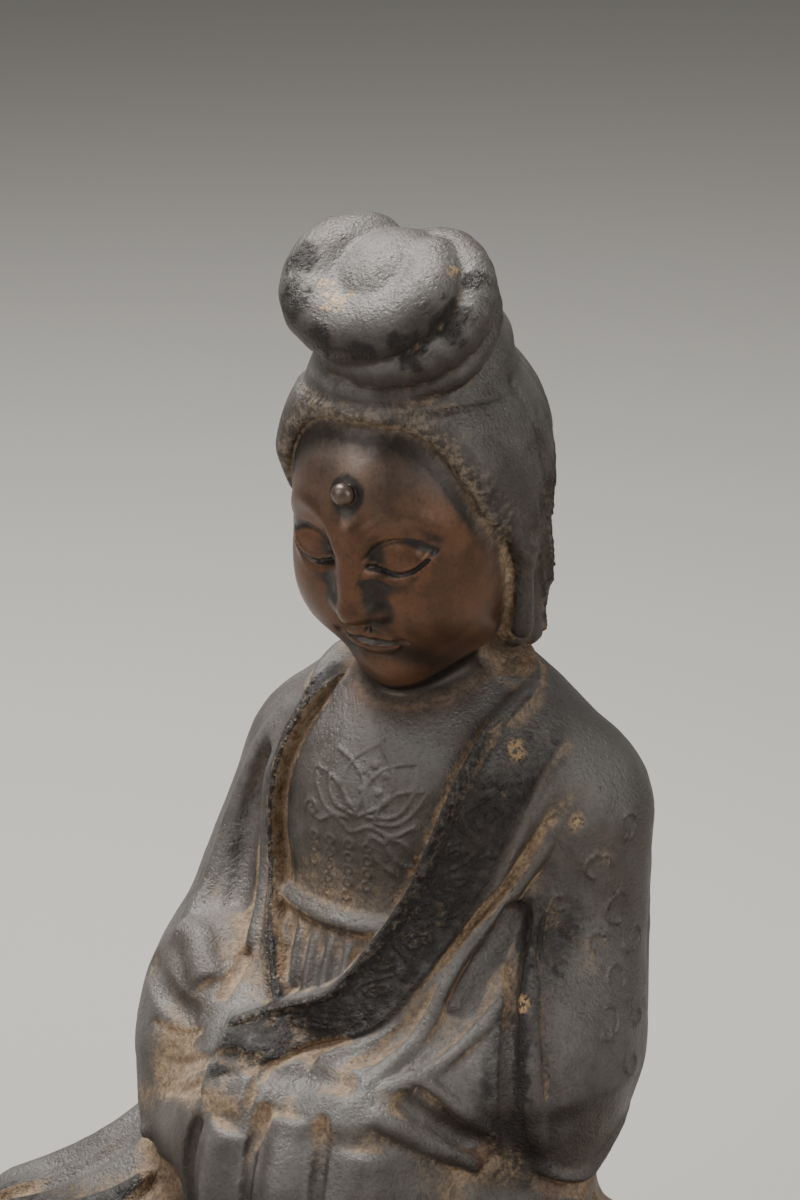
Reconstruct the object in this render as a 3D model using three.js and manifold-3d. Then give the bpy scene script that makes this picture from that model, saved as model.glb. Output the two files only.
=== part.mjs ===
// A seated Guanyin, cast in bronze in one piece with its low oval base.
// Millimetres, +Z up. The figure looks along -Y and its left hand is on +X.
// The figure is modelled as clay would be: rounded lumps are blended into each other, cloth is laid
// over them, and folds are pressed into the cloth. Every lump is a function that gives the distance
// to its surface, and the finished form is turned into triangles and joined to the base.
import * as THREE from "three";
import Module from "manifold-3d";

// Driving dimensions
const FIGURE_HEIGHT = 264; // from the top of the base to the top of the topknot
const BASE_HEIGHT = 14;
const BASE_MARGIN = 6; // base top beyond the knees, and beyond the shins and hips
const BASE_FOOT_LIP = 2.5; // how far the foot of the base stands out past its top
const BASE_WAIST = 2; // how deep the hollow moulding round the base is
const BASE_EDGE = 3.2; // height of the foot and of the top edge of the base
const BASE_SIDES = 56;
const FIGURE_SINK = 1.5; // how far the figure runs down into the base it is cast with
const TRIANGLES = 9000; // for the figure, without its base
const BRONZE = 0x4d4640;

// Heights and reaches in the drawing, above the top of the base. The pose and proportions are shares of
// the drawing's height, and the whole figure is brought to FIGURE_HEIGHT at the end.
const HEAD_HEIGHT = 199; // middle of the head
const TOPKNOT_RISE = 65; // from there to the top of the topknot
const DRAWN_HEIGHT = HEAD_HEIGHT + TOPKNOT_RISE;
const SCALE = FIGURE_HEIGHT / DRAWN_HEIGHT;
const NAPE = 158;
const NECKLINE_TOP = 164; // beside the neck
const NECKLINE_END = 87; // where the two fronts of the robe cross
const CHEST_BAND = 106;
const HEAD_CENTRE = [0, 0, HEAD_HEIGHT];
const HEAD_BOW = THREE.MathUtils.degToRad(20);
const CLOTH = 3; // thickness of the robe over the chest
const OVERLAP = 1.2; // how far the left front stands over the right one
const COLLAR_WIDTH = 15;
const KNEE_REACH = 108;
const KNEE = KNEE_REACH - 21; // middle of each knee
const SHIN_REACH = -74;
const HIP_REACH = 56;

// Lumps and joins
const clamp = THREE.MathUtils.clamp;
const length3 = (x, y, z) => Math.sqrt(x * x + y * y + z * z);

function blend(a, b, spread) {
  const h = Math.max(spread - Math.abs(a - b), 0) / spread;
  return Math.min(a, b) - (h * h * spread) / 4;
}

const carve = (form, tool, spread) => -blend(-form, tool, spread);

function egg(x, y, z, rx, ry, rz) {
  const far = length3(x / rx, y / ry, z / rz);
  const steep = length3(x / (rx * rx), y / (ry * ry), z / (rz * rz));
  return steep > 0 ? (far * (far - 1)) / steep : -Math.min(rx, ry, rz);
}

function limb(x, y, z, [ax, ay, az], [bx, by, bz], startRadius, endRadius) {
  const dx = bx - ax;
  const dy = by - ay;
  const dz = bz - az;
  const along = ((x - ax) * dx + (y - ay) * dy + (z - az) * dz) / (dx * dx + dy * dy + dz * dz);
  const t = clamp(along, 0, 1);
  const radius = startRadius + t * (endRadius - startRadius);
  return length3(x - ax - t * dx, y - ay - t * dy, z - az - t * dz) - radius;
}

// 1 on the middle of a ridge, falling smoothly to 0 at its edge
function swell(offset, halfWidth) {
  const t = offset / halfWidth;
  return Math.abs(t) < 1 ? (1 - t * t) ** 2 : 0;
}

function ramp(from, to, value) {
  const t = clamp((value - from) / (to - from), 0, 1);
  return t * t * (3 - 2 * t);
}

// A ridge, or a groove where its height is negative, along a curve through the given points
class Fold {
  constructor(points, halfWidth, height) {
    const curve = new THREE.CatmullRomCurve3(points.map((p) => new THREE.Vector3(...p)));
    this.points = curve.getPoints(5 * (points.length - 1));
    this.halfWidth = halfWidth;
    this.height = height;
    this.box = new THREE.Box3().setFromPoints(this.points).expandByScalar(halfWidth);
  }

  at(x, y, z) {
    const { min, max } = this.box;
    if (x < min.x || x > max.x || y < min.y || y > max.y || z < min.z || z > max.z) return 0;
    let nearest = Infinity;
    let place = 0;
    for (let i = 0; i + 1 < this.points.length; i++) {
      const a = this.points[i];
      const b = this.points[i + 1];
      const dx = b.x - a.x;
      const dy = b.y - a.y;
      const dz = b.z - a.z;
      const along = (x - a.x) * dx + (y - a.y) * dy + (z - a.z) * dz;
      const t = clamp(along / (dx * dx + dy * dy + dz * dz), 0, 1);
      const away = length3(x - a.x - t * dx, y - a.y - t * dy, z - a.z - t * dz);
      if (away < nearest) {
        nearest = away;
        place = i + t;
      }
    }
    const share = place / (this.points.length - 1);
    const fade = ramp(0, 0.14, share) * ramp(0, 0.14, 1 - share);
    return this.height * fade * swell(nearest, this.halfWidth);
  }
}

// The body under the robe, with its sleeves, from the hips up. side is the distance from the middle.
function trunk(x, y, z) {
  const side = Math.abs(x);
  let d = egg(x, y - 13, z - 98, 40, 31, 64);
  d = blend(d, egg(x, y - 3, z - 126, 32, 29, 32), 14);
  d = blend(d, egg(x, y + 4, z - 82, 34, 32, 30), 16);
  d = blend(d, limb(side, y, z, [0, 12, 146], [31, 14, 131], 12, 13.5), 12);
  d = blend(d, limb(x, y, z, [0, 12, 148], [0, 0, HEAD_HEIGHT - 19], 13.5, 11.5), 8);
  return d;
}

function sleeves(x, y, z) {
  // The right arm is held a little further from the body than the left.
  let d = limb(x, y, z, [35, 13, 126], [37, 6, 74], 14, 14);
  d = blend(d, egg(x - 38, y + 4, z - 71, 13.5, 23, 29), 8);
  d = blend(d, limb(x, y, z, [37, -8, 74], [12, -42, 66], 14, 11.5), 8);
  let right = limb(x, y, z, [-35, 13, 124], [-44, 0, 88], 14, 14);
  right = blend(right, egg(x + 44.5, y + 14, z - 65, 14.5, 24, 25), 8);
  right = blend(right, limb(x, y, z, [-42, -12, 78], [-14, -42, 66], 15, 11.5), 8);
  return Math.min(d, right);
}

function lap(x, y, z) {
  const side = Math.abs(x);
  let d = egg(x, y - 14, z - 25, 32, 37, 33);
  d = blend(d, limb(side, y, z, [16, 3, 25], [KNEE, -31, 4], 19, 11), 12);
  d = blend(d, egg(side - KNEE, y + 31, z - 4, KNEE_REACH - KNEE, 21, 10), 8);
  d = blend(d, limb(side, y, z, [KNEE - 3, -39, 8], [4, SHIN_REACH + 17, 15], 12, 14), 10);
  d = blend(d, egg(x, y + 28, z - 7, KNEE - 11, 32, 26), 8);
  d = blend(d, egg(x, y - SHIN_REACH - 30, z - 30, 32, 20, 34), 10);
  // The robe lies thicker over the right thigh, where the sleeve rests on it.
  d = blend(d, limb(x, y, z, [-36, -8, 37], [5 - KNEE, -28, 10], 18, 10), 9);
  // Cloth is bunched below both sleeves
  d = blend(d, limb(x, y, z, [-42, -30, 48], [-24, -44, 55], 9, 11), 7);
  d = blend(d, limb(x, y, z, [28, -28, 44], [38, -14, 40], 11, 10), 6);
  // It fills the waist and spreads out behind over the base.
  d = blend(d, egg(x, y - 14, z - 58, 32, 31, 36), 10);
  d = blend(d, egg(x, y - HIP_REACH + 36, z - 1, 56, 34, 16), 10);
  d = blend(d, egg(x, y + 40, z - 54, 26, 19, 15), 10);
  return d;
}

function body(x, y, z) {
  const d = blend(trunk(x, y, z), sleeves(x, y, z), 7);
  return blend(d, lap(x, y, z), 9);
}

// How far a point is inside the left front of the robe, past its edge, seen from straight ahead
function leftFront(x, y, z) {
  const down = clamp((NECKLINE_TOP - z) / (NECKLINE_TOP - NECKLINE_END), 0, 1.3);
  const slope = (12 + 58 * down ** 2) / (NECKLINE_TOP - NECKLINE_END);
  const falling = (x - 25 + 12 * down + 19.5 * down ** 3) / Math.sqrt(1 + slope * slope);
  // It turns level over the waist
  const level = 1.25 * (NECKLINE_END + 4 + 0.39 * (x + 5) - z);
  return carve(falling, -level, 3);
}

function rightFront(x, y, z) {
  const rise = (z - 124) / 34;
  const slope = 0.65 * rise;
  return (11 * rise * rise - 27 - x) / Math.sqrt(1 + slope * slope);
}

// Negative on the bare chest and neck, positive over the robe
function neckline(x, y, z) {
  const front = Math.max(leftFront(x, y, z), rightFront(x, y, z), NECKLINE_END - z);
  return Math.min(Math.max(front, y - 6), NAPE - z + 0.3 * (y - 6));
}

function robe(x, y, z) {
  const s = neckline(x, y, z);
  let thickness = CLOTH * ramp(-1.3, 1.3, s) + 0.8 * swell(s - 2, 3.2);
  // The left front lies over the right one, and the step fades out towards the back.
  const over = Math.min(leftFront(x, y, z), x + 25);
  const step = OVERLAP * ramp(-1.2, 1.2, over) - 1.2 * swell(over - COLLAR_WIDTH, 2.8);
  thickness += step * ramp(10, -8, y) * ramp(66, 72, z);
  return thickness;
}

// Under the open robe: a raised band round the chest, with the pleats of the skirt below it
function underskirt(x, y, z) {
  if (y > 0 || z < NECKLINE_END - 4 || z > CHEST_BAND + 6) return 0;
  const bare = ramp(1, -1, neckline(x, y, z));
  const band = 1.6 * swell(z - CHEST_BAND, 3.4);
  const pleats = 0.6 * Math.cos(x * 1.25) * ramp(CHEST_BAND - 2, CHEST_BAND - 7, z);
  return bare * (band + pleats);
}

// The points are near the cloth, and settle on its surface.
function settle([px, py, pz]) {
  const p = [px, py, pz];
  const step = 0.5;
  for (let turn = 0; turn < 6; turn++) {
    const [x, y, z] = p;
    const d = body(x, y, z) - robe(x, y, z);
    const gx = body(x + step, y, z) - body(x - step, y, z);
    const gy = body(x, y + step, z) - body(x, y - step, z);
    const gz = body(x, y, z + step) - body(x, y, z - step);
    const steep = length3(gx, gy, gz) || 1;
    p[0] -= (d * gx) / steep;
    p[1] -= (d * gy) / steep;
    p[2] -= (d * gz) / steep;
  }
  return p;
}

const fold = (points, halfWidth, height) => new Fold(points.map(settle), halfWidth, height);
const mirrored = (points) => points.map(([x, y, z]) => [-x, y, z]);

function bothSides(points, halfWidth, height) {
  return [fold(points, halfWidth, height), fold(mirrored(points), halfWidth, height)];
}

function makeFolds() {
  const folds = [];
  const add = (points, halfWidth, height) => folds.push(fold(points, halfWidth, height));
  const addBoth = (points, halfWidth, height) => folds.push(...bothSides(points, halfWidth, height));
  // Long folds of the left front, from the shoulder round under the collar to the waist
  add([[39, 2, 145], [33, -14, 127], [24, -25, 104], [11, -38, 85], [-5, -49, 77]], 3.8, 1.7);
  add([[43, 3, 143], [36, -11, 121], [28, -23, 104], [24, -30, 94], [21, -38, 85], [14, -52, 76]], 2.8, 2.6);
  add([[42, -2, 139], [33, -13, 119], [25, -24, 105], [20, -33, 93], [15, -43, 84], [5, -50, 78]], 2.8, -1.4);
  // The pocket between those folds and the hanging sleeve, and the flat cloth of the forearm below it
  add([[34, -13, 114], [32, -18, 106], [29, -26, 98], [28, -31, 90]], 4.6, -4.2);
  add([[38, -24, 96], [34, -29, 89], [26, -42, 80], [18, -50, 77]], 2.6, 1.8);
  // The front edge of the left sleeve, and its hem
  add([[36, -12, 115], [37, -20, 101], [41, -30, 85], [42, -32, 72], [42, -30, 57]], 2.6, -2.8);
  add([[38, -9, 116], [39, -17, 103], [44, -26, 87], [46, -28, 74], [46, -25, 56]], 3.4, 2.2);
  add([[44, -26, 56], [49, -17, 50], [51, -8, 49], [51, 3, 54], [47, 16, 60]], 2, 1.7);
  add([[42, -24, 52], [47, -15, 46], [49, -6, 45], [49, 5, 49]], 2.2, -1.6);
  // The creases of the cloth over the left wrist
  add([[22, -45, 81], [27, -43, 79], [33, -40, 73], [39, -33, 65]], 2.4, 2.4);
  add([[22, -49, 77], [29, -45, 72], [33, -40, 67], [37, -34, 61]], 3.4, -4.4);
  add([[18, -54, 74], [26, -50, 69], [33, -40, 61], [37, -33, 56]], 3.4, 2);
  // The right shoulder, with its light outer edge and the dark hollow beside the chest
  add([[-33, -3, 145], [-45, -4, 122], [-49, -11, 104], [-50, -22, 93]], 4, 1.6);
  add([[-35, -8, 137], [-40, -9, 121], [-41, -13, 109], [-39, -20, 98]], 4.8, -4.6);
  add([[-31, -12, 137], [-34, -14, 120], [-33, -19, 106], [-29, -30, 92]], 3, 2.2);
  // The bunched cloth at the right elbow, and the fine creases over the forearm
  add([[-51, -22, 91], [-44, -26, 92], [-39, -31, 89], [-35, -36, 86]], 5.6, 3.4);
  add([[-56, -24, 84], [-49, -32, 82], [-42, -37, 80], [-34, -41, 80]], 4, -2.2);
  add([[-31, -28, 95], [-30, -33, 90], [-30, -38, 83]], 2.6, -2.4);
  add([[-40, -38, 66], [-26, -48, 74], [-16, -50, 79]], 2, -0.9);
  add([[-42, -36, 58], [-30, -50, 66], [-14, -54, 76]], 2, -0.9);
  // The lower edge of the right sleeve over the thigh
  add([[-42, -40, 50], [-50, -32, 46], [-58, -12, 48]], 2.8, 1.4);
  add([[-46, -40, 46], [-53, -32, 41], [-61, -12, 43]], 2.6, -2.2);
  // Cloth over the hidden hands, which falls over the front of the lap in rounded pleats
  add([[1, -56, 70], [1, -59, 66], [2, -63, 56], [3, -68, 38], [4, -70, 18]], 6, 4.2);
  add([[-14, -58, 65], [-15, -60, 61], [-17, -64, 50], [-20, -68, 32], [-22, -69, 18]], 6.4, 3.8);
  add([[19, -56, 67], [21, -60, 60], [24, -64, 46], [27, -67, 28]], 8, 2.4);
  add([[-6, -54, 71], [-7, -60, 64], [-7, -64, 54], [-8, -69, 36], [-9, -70, 18]], 2.3, -3);
  add([[9, -55, 72], [10, -60, 65], [11, -64, 54], [13, -68, 36], [14, -69, 18]], 2.5, -3);
  add([[-22, -53, 64], [-25, -57, 54], [-29, -62, 38], [-32, -65, 22]], 2.6, -3.2);
  // The shallow dip between the collar and those pleats
  add([[-24, -46, 74], [-10, -50, 75], [4, -50, 76], [16, -50, 76]], 4.2, -1.8);
  // Folds that run from the hip over each thigh to the knee
  addBoth([[50, -10, 42], [66, -20, 34], [82, -28, 25], [98, -34, 14]], 4.6, 2.6);
  addBoth([[53, -20, 42], [66, -30, 34], [80, -38, 24], [94, -44, 12]], 3.2, -2.6);
  addBoth([[48, -34, 40], [62, -44, 31], [78, -50, 19], [90, -50, 8]], 5, 2.8);
  addBoth([[44, -46, 36], [60, -56, 24], [78, -56, 12]], 3.2, -2.2);
  addBoth([[40, 14, 42], [58, 0, 33], [80, -10, 20], [98, -20, 8]], 4, 1.6);
  // Slack pleats of the skirt across the shins
  for (const [reach, level, depth] of [[60, 30, -62], [50, 17, -66]]) {
    const half = [[-reach, depth + 12, level + 4], [-reach / 2, depth, level - 5], [0, depth - 4, level - 8]];
    add([...half, ...mirrored(half).reverse().slice(1)], 3.6, 1.8);
  }
  // The plain back: hanging folds of the robe
  for (const x of [10, 27]) {
    addBoth([[x * 0.55, 42, 138], [x * 0.9, 47, 96], [x * 1.25, 52, 44], [x * 1.35, 53, 14]], 4.6, 1.8);
  }
  addBoth([[44, 24, 122], [49, 20, 90], [49, 20, 60]], 4, 1.4);
  return folds;
}

// The head, in its own frame: its middle at 0, the face along -y, mirrored about x = 0. The brows, the
// foot of the nose and the chin are a third of the face apart.
const FACE_THIRD = 21;
const BROW = FACE_THIRD / 2;
const NOSE_FOOT = -FACE_THIRD / 2;
const MOUTH = NOSE_FOOT - FACE_THIRD * 0.42;

function face(x, y, z) {
  const side = Math.abs(x);
  let d = blend(egg(x, y - 4, z - 9, 25.5, 30, 29), egg(x, y + 7, z + 7, 22.5, 22.5, 30), 12);
  d = blend(d, egg(side - 9, y + 4, z + 20, 11.5, 16, 13), 8);
  d = blend(d, egg(x, y + 18, z + 31, 9, 8.5, 7.5), 8);
  d = blend(d, egg(side - 11, y + 17.5, z + 10, 10, 10.5, 12), 8);
  d = carve(d, egg(side - 10.5, y + 35, z - BROW + 5, 9, 7, 5.5), 5);
  d = blend(d, egg(side - 10.5, y + 22.6, z - BROW + 6.5, 7.2, 5.4, 4.6), 2);
  d = blend(d, limb(x, y, z, [0, -27, BROW - 2], [0, -32.5, NOSE_FOOT + 1.5], 2.2, 3.2), 4);
  d = blend(d, egg(side - 3.7, y + 29.5, z - NOSE_FOOT, 2.5, 3.3, 2.4), 2);
  d = blend(d, limb(side, y, z, [0, -30, MOUTH + 1.6], [5.6, -27, MOUTH + 0.7], 1.5, 0.9), 2);
  d = blend(d, limb(side, y, z, [0, -29.4, MOUTH - 2], [4.6, -27.4, MOUTH - 1.4], 1.8, 1), 2);
  d = carve(d, limb(side, y, z, [0, -32, MOUTH], [6.5, -28.2, MOUTH], 0.8, 0.5), 1);
  d = blend(d, egg(x, y + 27.2, z - BROW - 9, 2.6, 2.2, 2.6), 0.8);
  return d;
}

// Positive outside the face, over the hair
function hairline(x, y, z) {
  const round = (Math.abs(x / 24.5) ** 2.7 + Math.abs((z + 8) / 39) ** 2.7) ** (1 / 2.7);
  return Math.max((round - 1) * 25, y + 2 - 0.1 * z);
}

function hair(x, y, z) {
  const side = Math.abs(x);
  const s = hairline(x, y, z);
  let d = egg(x, y - 5, z - 9, 28.5, 33.5, 31) - 1.6 * swell(s - 4.5, 5);
  d = blend(d, egg(x, y - 15, z + 9, 21, 15, 25), 10);
  d = carve(d, s, 2.4);
  // Locks drawn back over the ear and down behind it
  d = blend(d, limb(side, y, z, [25.5, 2, 8], [24.5, 6, -20], 4, 3), 4);
  d = blend(d, limb(side, y, z, [23.5, 4, -8], [22, 0, -33], 4, 3.6), 4);
  d = blend(d, limb(side, y, z, [22, -3, -12], [21, -4, -31], 3.4, 3.4), 2);
  d = blend(d, limb(side, y, z, [23, 11, 4], [20.5, 5, -34], 5, 3.4), 4);
  return d;
}

function ears(x, y, z) {
  const side = Math.abs(x);
  let d = egg(side - 27, y + 0.5, z + 2, 2.6, 6, 9.5);
  d = blend(d, limb(side, y, z, [27, -2, -8], [25, -6, -27], 2.3, 2.7), 3);
  return carve(d, egg(side - 30, y + 1, z + 2, 2.2, 3.4, 6), 1);
}

// The topknot: a fat loop of hair folded forward, with a second turn wrapped round behind it
function smooth(points, steps) {
  const curve = new THREE.CatmullRomCurve3(points.map((p) => new THREE.Vector3(...p)));
  return curve.getPoints(steps).map((p) => p.toArray());
}

const knotLoop = smooth([
  [-10, 15, 54],
  [-15, 9, 55],
  [-15, 0, 51],
  [-5, -5, 48],
  [6, -4, 49.5],
  [12, 3, 53.5],
  [9, 10, 55],
], 16);
const knotWrap = smooth([
  [0, 17, 52.5],
  [9, 18, 54],
  [17, 12, 53],
  [20, 4, 48.5],
  [15, -5, 43.5],
  [4, -9, 40.5],
  [-8, -6, 41],
], 16);
const knotBand = smooth([
  [4, 22, 46],
  [14, 18, 47],
  [20.5, 9, 43.5],
  [19, -1, 39],
  [9, -9, 36.5],
  [-4, -11, 36],
], 16);

function strand(x, y, z, points, startRadius, endRadius, spread) {
  let d = Infinity;
  for (let i = 0; i + 1 < points.length; i++) {
    const from = startRadius + (i / (points.length - 1)) * (endRadius - startRadius);
    const to = startRadius + ((i + 1) / (points.length - 1)) * (endRadius - startRadius);
    d = blend(d, limb(x, y, z, points[i], points[i + 1], from, to), spread);
  }
  return d;
}

function topknot(x, y, z) {
  const foot = limb(x, y, z, [0, 9, 33], [0, 8, 45], 23, 18);
  const filling = egg(x + 2, y - 4, z - 50.5, 12, 10, 8);
  const loop = blend(strand(x, y, z, knotLoop, 9, 7.4, 1), filling, 5);
  const wrap = strand(x, y, z, knotWrap, 6.2, 4.2, 1);
  const band = strand(x, y, z, knotBand, 4.4, 3, 1);
  return blend(blend(blend(foot, band, 1), wrap, 0.8), loop, 0.6);
}

function head(x, y, z) {
  const [cx, cy, cz] = HEAD_CENTRE;
  const cos = Math.cos(HEAD_BOW);
  const sin = Math.sin(HEAD_BOW);
  const hy = (y - cy) * cos + (z - cz) * sin;
  const hz = (z - cz) * cos - (y - cy) * sin;
  const hx = x - cx;
  let d = blend(face(hx, hy, hz), ears(hx, hy, hz), 1.5);
  d = blend(d, hair(hx, hy, hz), 0.8);
  return blend(d, topknot(hx, hy, hz), 1.4);
}

const folds = makeFolds();

// Distance to the figure's surface, in the drawing's millimetres. Folds matter only near the surface.
function figure(x, y, z) {
  let d = body(x, y, z);
  if (d < 14 && d > -14) {
    d -= robe(x, y, z) + underskirt(x, y, z);
    for (const f of folds) d -= f.at(x, y, z);
  } else {
    d -= CLOTH;
  }
  if (z > NAPE - 14) d = blend(d, head(x, y, z), 2.5);
  return Math.max(d, -FIGURE_SINK / SCALE - z);
}

// Triangles: the space round the figure is cut into boxes, finer at the head, and each box into six
// tetrahedra, so that the surface between them is always closed.
function gridLines(low, high, ...bands) {
  const lines = [low];
  while (lines.at(-1) < high) {
    const here = lines.at(-1);
    const band = bands.find(([from, to]) => here >= from && here < to);
    lines.push(here + (band ? band[2] : 2.6));
  }
  return lines;
}

function findSurface(field) {
  const xs = gridLines(-KNEE_REACH - 10, KNEE_REACH + 10, [-56, 56, 1.8]);
  const ys = gridLines(SHIN_REACH - 12, HIP_REACH + 12, [-62, 4, 1.7]);
  const zs = gridLines(-FIGURE_SINK - 4, DRAWN_HEIGHT + 8, [44, 272, 1.8]);
  const [nx, ny, nz] = [xs.length, ys.length, zs.length];
  const id = (i, j, k) => i + nx * (j + ny * k);
  const value = new Float32Array(nx * ny * nz).fill(NaN);
  const block = 6;
  // A block far from the surface needs no values of its own.
  for (let k = 0; k < nz; k += block) {
    for (let j = 0; j < ny; j += block) {
      for (let i = 0; i < nx; i += block) {
        const [ie, je, ke] = [Math.min(i + block, nx), Math.min(j + block, ny), Math.min(k + block, nz)];
        const [x0, y0, z0] = [xs[i], ys[j], zs[k]];
        const [x1, y1, z1] = [xs[ie - 1], ys[je - 1], zs[ke - 1]];
        const middle = field((x0 + x1) / 2, (y0 + y1) / 2, (z0 + z1) / 2);
        const reach = length3(x1 - x0, y1 - y0, z1 - z0) * 0.8 + 6;
        const far = Math.abs(middle) > reach;
        for (let c = k; c < ke; c++) {
          for (let b = j; b < je; b++) {
            for (let a = i; a < ie; a++) value[id(a, b, c)] = far ? middle : field(xs[a], ys[b], zs[c]);
          }
        }
      }
    }
  }
  // Six tetrahedra share each box's long diagonal: each climbs from corner 0 to corner 7 axis by axis.
  const climbs = [[1, 2, 4], [1, 4, 2], [2, 1, 4], [2, 4, 1], [4, 1, 2], [4, 2, 1]];
  const points = [];
  const triangles = [];
  const made = new Map();
  const crossing = (a, b) => {
    const key = a < b ? a * 8388608 + b : b * 8388608 + a;
    let found = made.get(key);
    if (found === undefined) {
      const t = value[a] / (value[a] - value[b]);
      const at = (n, lines, stride, count) => lines[Math.floor(n / stride) % count];
      const mix = (lines, stride, count) =>
        at(a, lines, stride, count) * (1 - t) + at(b, lines, stride, count) * t;
      found = points.length / 3;
      points.push(mix(xs, 1, nx), mix(ys, nx, ny), mix(zs, nx * ny, nz));
      made.set(key, found);
    }
    return found;
  };
  const face = (a, b, c, turned) => triangles.push(...(turned ? [a, c, b] : [a, b, c]));
  for (let k = 0; k + 1 < nz; k++) {
    for (let j = 0; j + 1 < ny; j++) {
      for (let i = 0; i + 1 < nx; i++) {
        const corner = (c) => id(i + (c & 1), j + ((c >> 1) & 1), k + (c >> 2));
        const corners = [0, 1, 2, 3, 4, 5, 6, 7].map(corner);
        const inside = corners.filter((c) => value[c] < 0).length;
        if (inside === 0 || inside === 8) continue;
        climbs.forEach(([first, second], n) => {
          const tetra = [corners[0], corners[first], corners[first + second], corners[7]];
          const handed = n === 0 || n === 3 || n === 4; // these three climbs turn the same way
          const within = tetra.filter((c) => value[c] < 0);
          const without = tetra.filter((c) => value[c] >= 0);
          if (!within.length || !without.length) return;
          // An odd swap of the tetrahedron's corners turns the triangle over.
          const order = [...within, ...without].map((c) => tetra.indexOf(c));
          let swaps = 0;
          for (let p = 0; p < 4; p++) for (let q = p + 1; q < 4; q++) if (order[p] > order[q]) swaps++;
          const turned = (swaps % 2 === 1) === handed;
          if (within.length === 1) {
            const [a, b, c] = without.map((o) => crossing(within[0], o));
            face(a, b, c, turned);
          } else if (within.length === 3) {
            const [a, b, c] = within.map((o) => crossing(o, without[0]));
            face(a, b, c, turned);
          } else {
            const [p, q] = within;
            const [r, s] = without;
            const [pr, ps, qs, qr] = [crossing(p, r), crossing(p, s), crossing(q, s), crossing(q, r)];
            face(pr, ps, qs, turned);
            face(pr, qs, qr, turned);
          }
        });
      }
    }
  }
  return { points, triangles };
}

// Fewer triangles: the edges whose loss changes the form least are closed up first.
// Each corner carries the sum of squared distances to the planes that met there.
class Heap {
  constructor() {
    this.items = [];
  }

  push(item) {
    const { items } = this;
    let n = items.push(item) - 1;
    while (n > 0) {
      const up = (n - 1) >> 1;
      if (items[up].cost <= item.cost) break;
      items[n] = items[up];
      n = up;
    }
    items[n] = item;
  }

  pop() {
    const { items } = this;
    const top = items[0];
    const last = items.pop();
    if (!items.length) return top;
    let n = 0;
    for (;;) {
      let child = 2 * n + 1;
      if (child >= items.length) break;
      if (child + 1 < items.length && items[child + 1].cost < items[child].cost) child++;
      if (items[child].cost >= last.cost) break;
      items[n] = items[child];
      n = child;
    }
    items[n] = last;
    return top;
  }
}

const TERMS = 10; // numbers that hold a corner's planes

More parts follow.
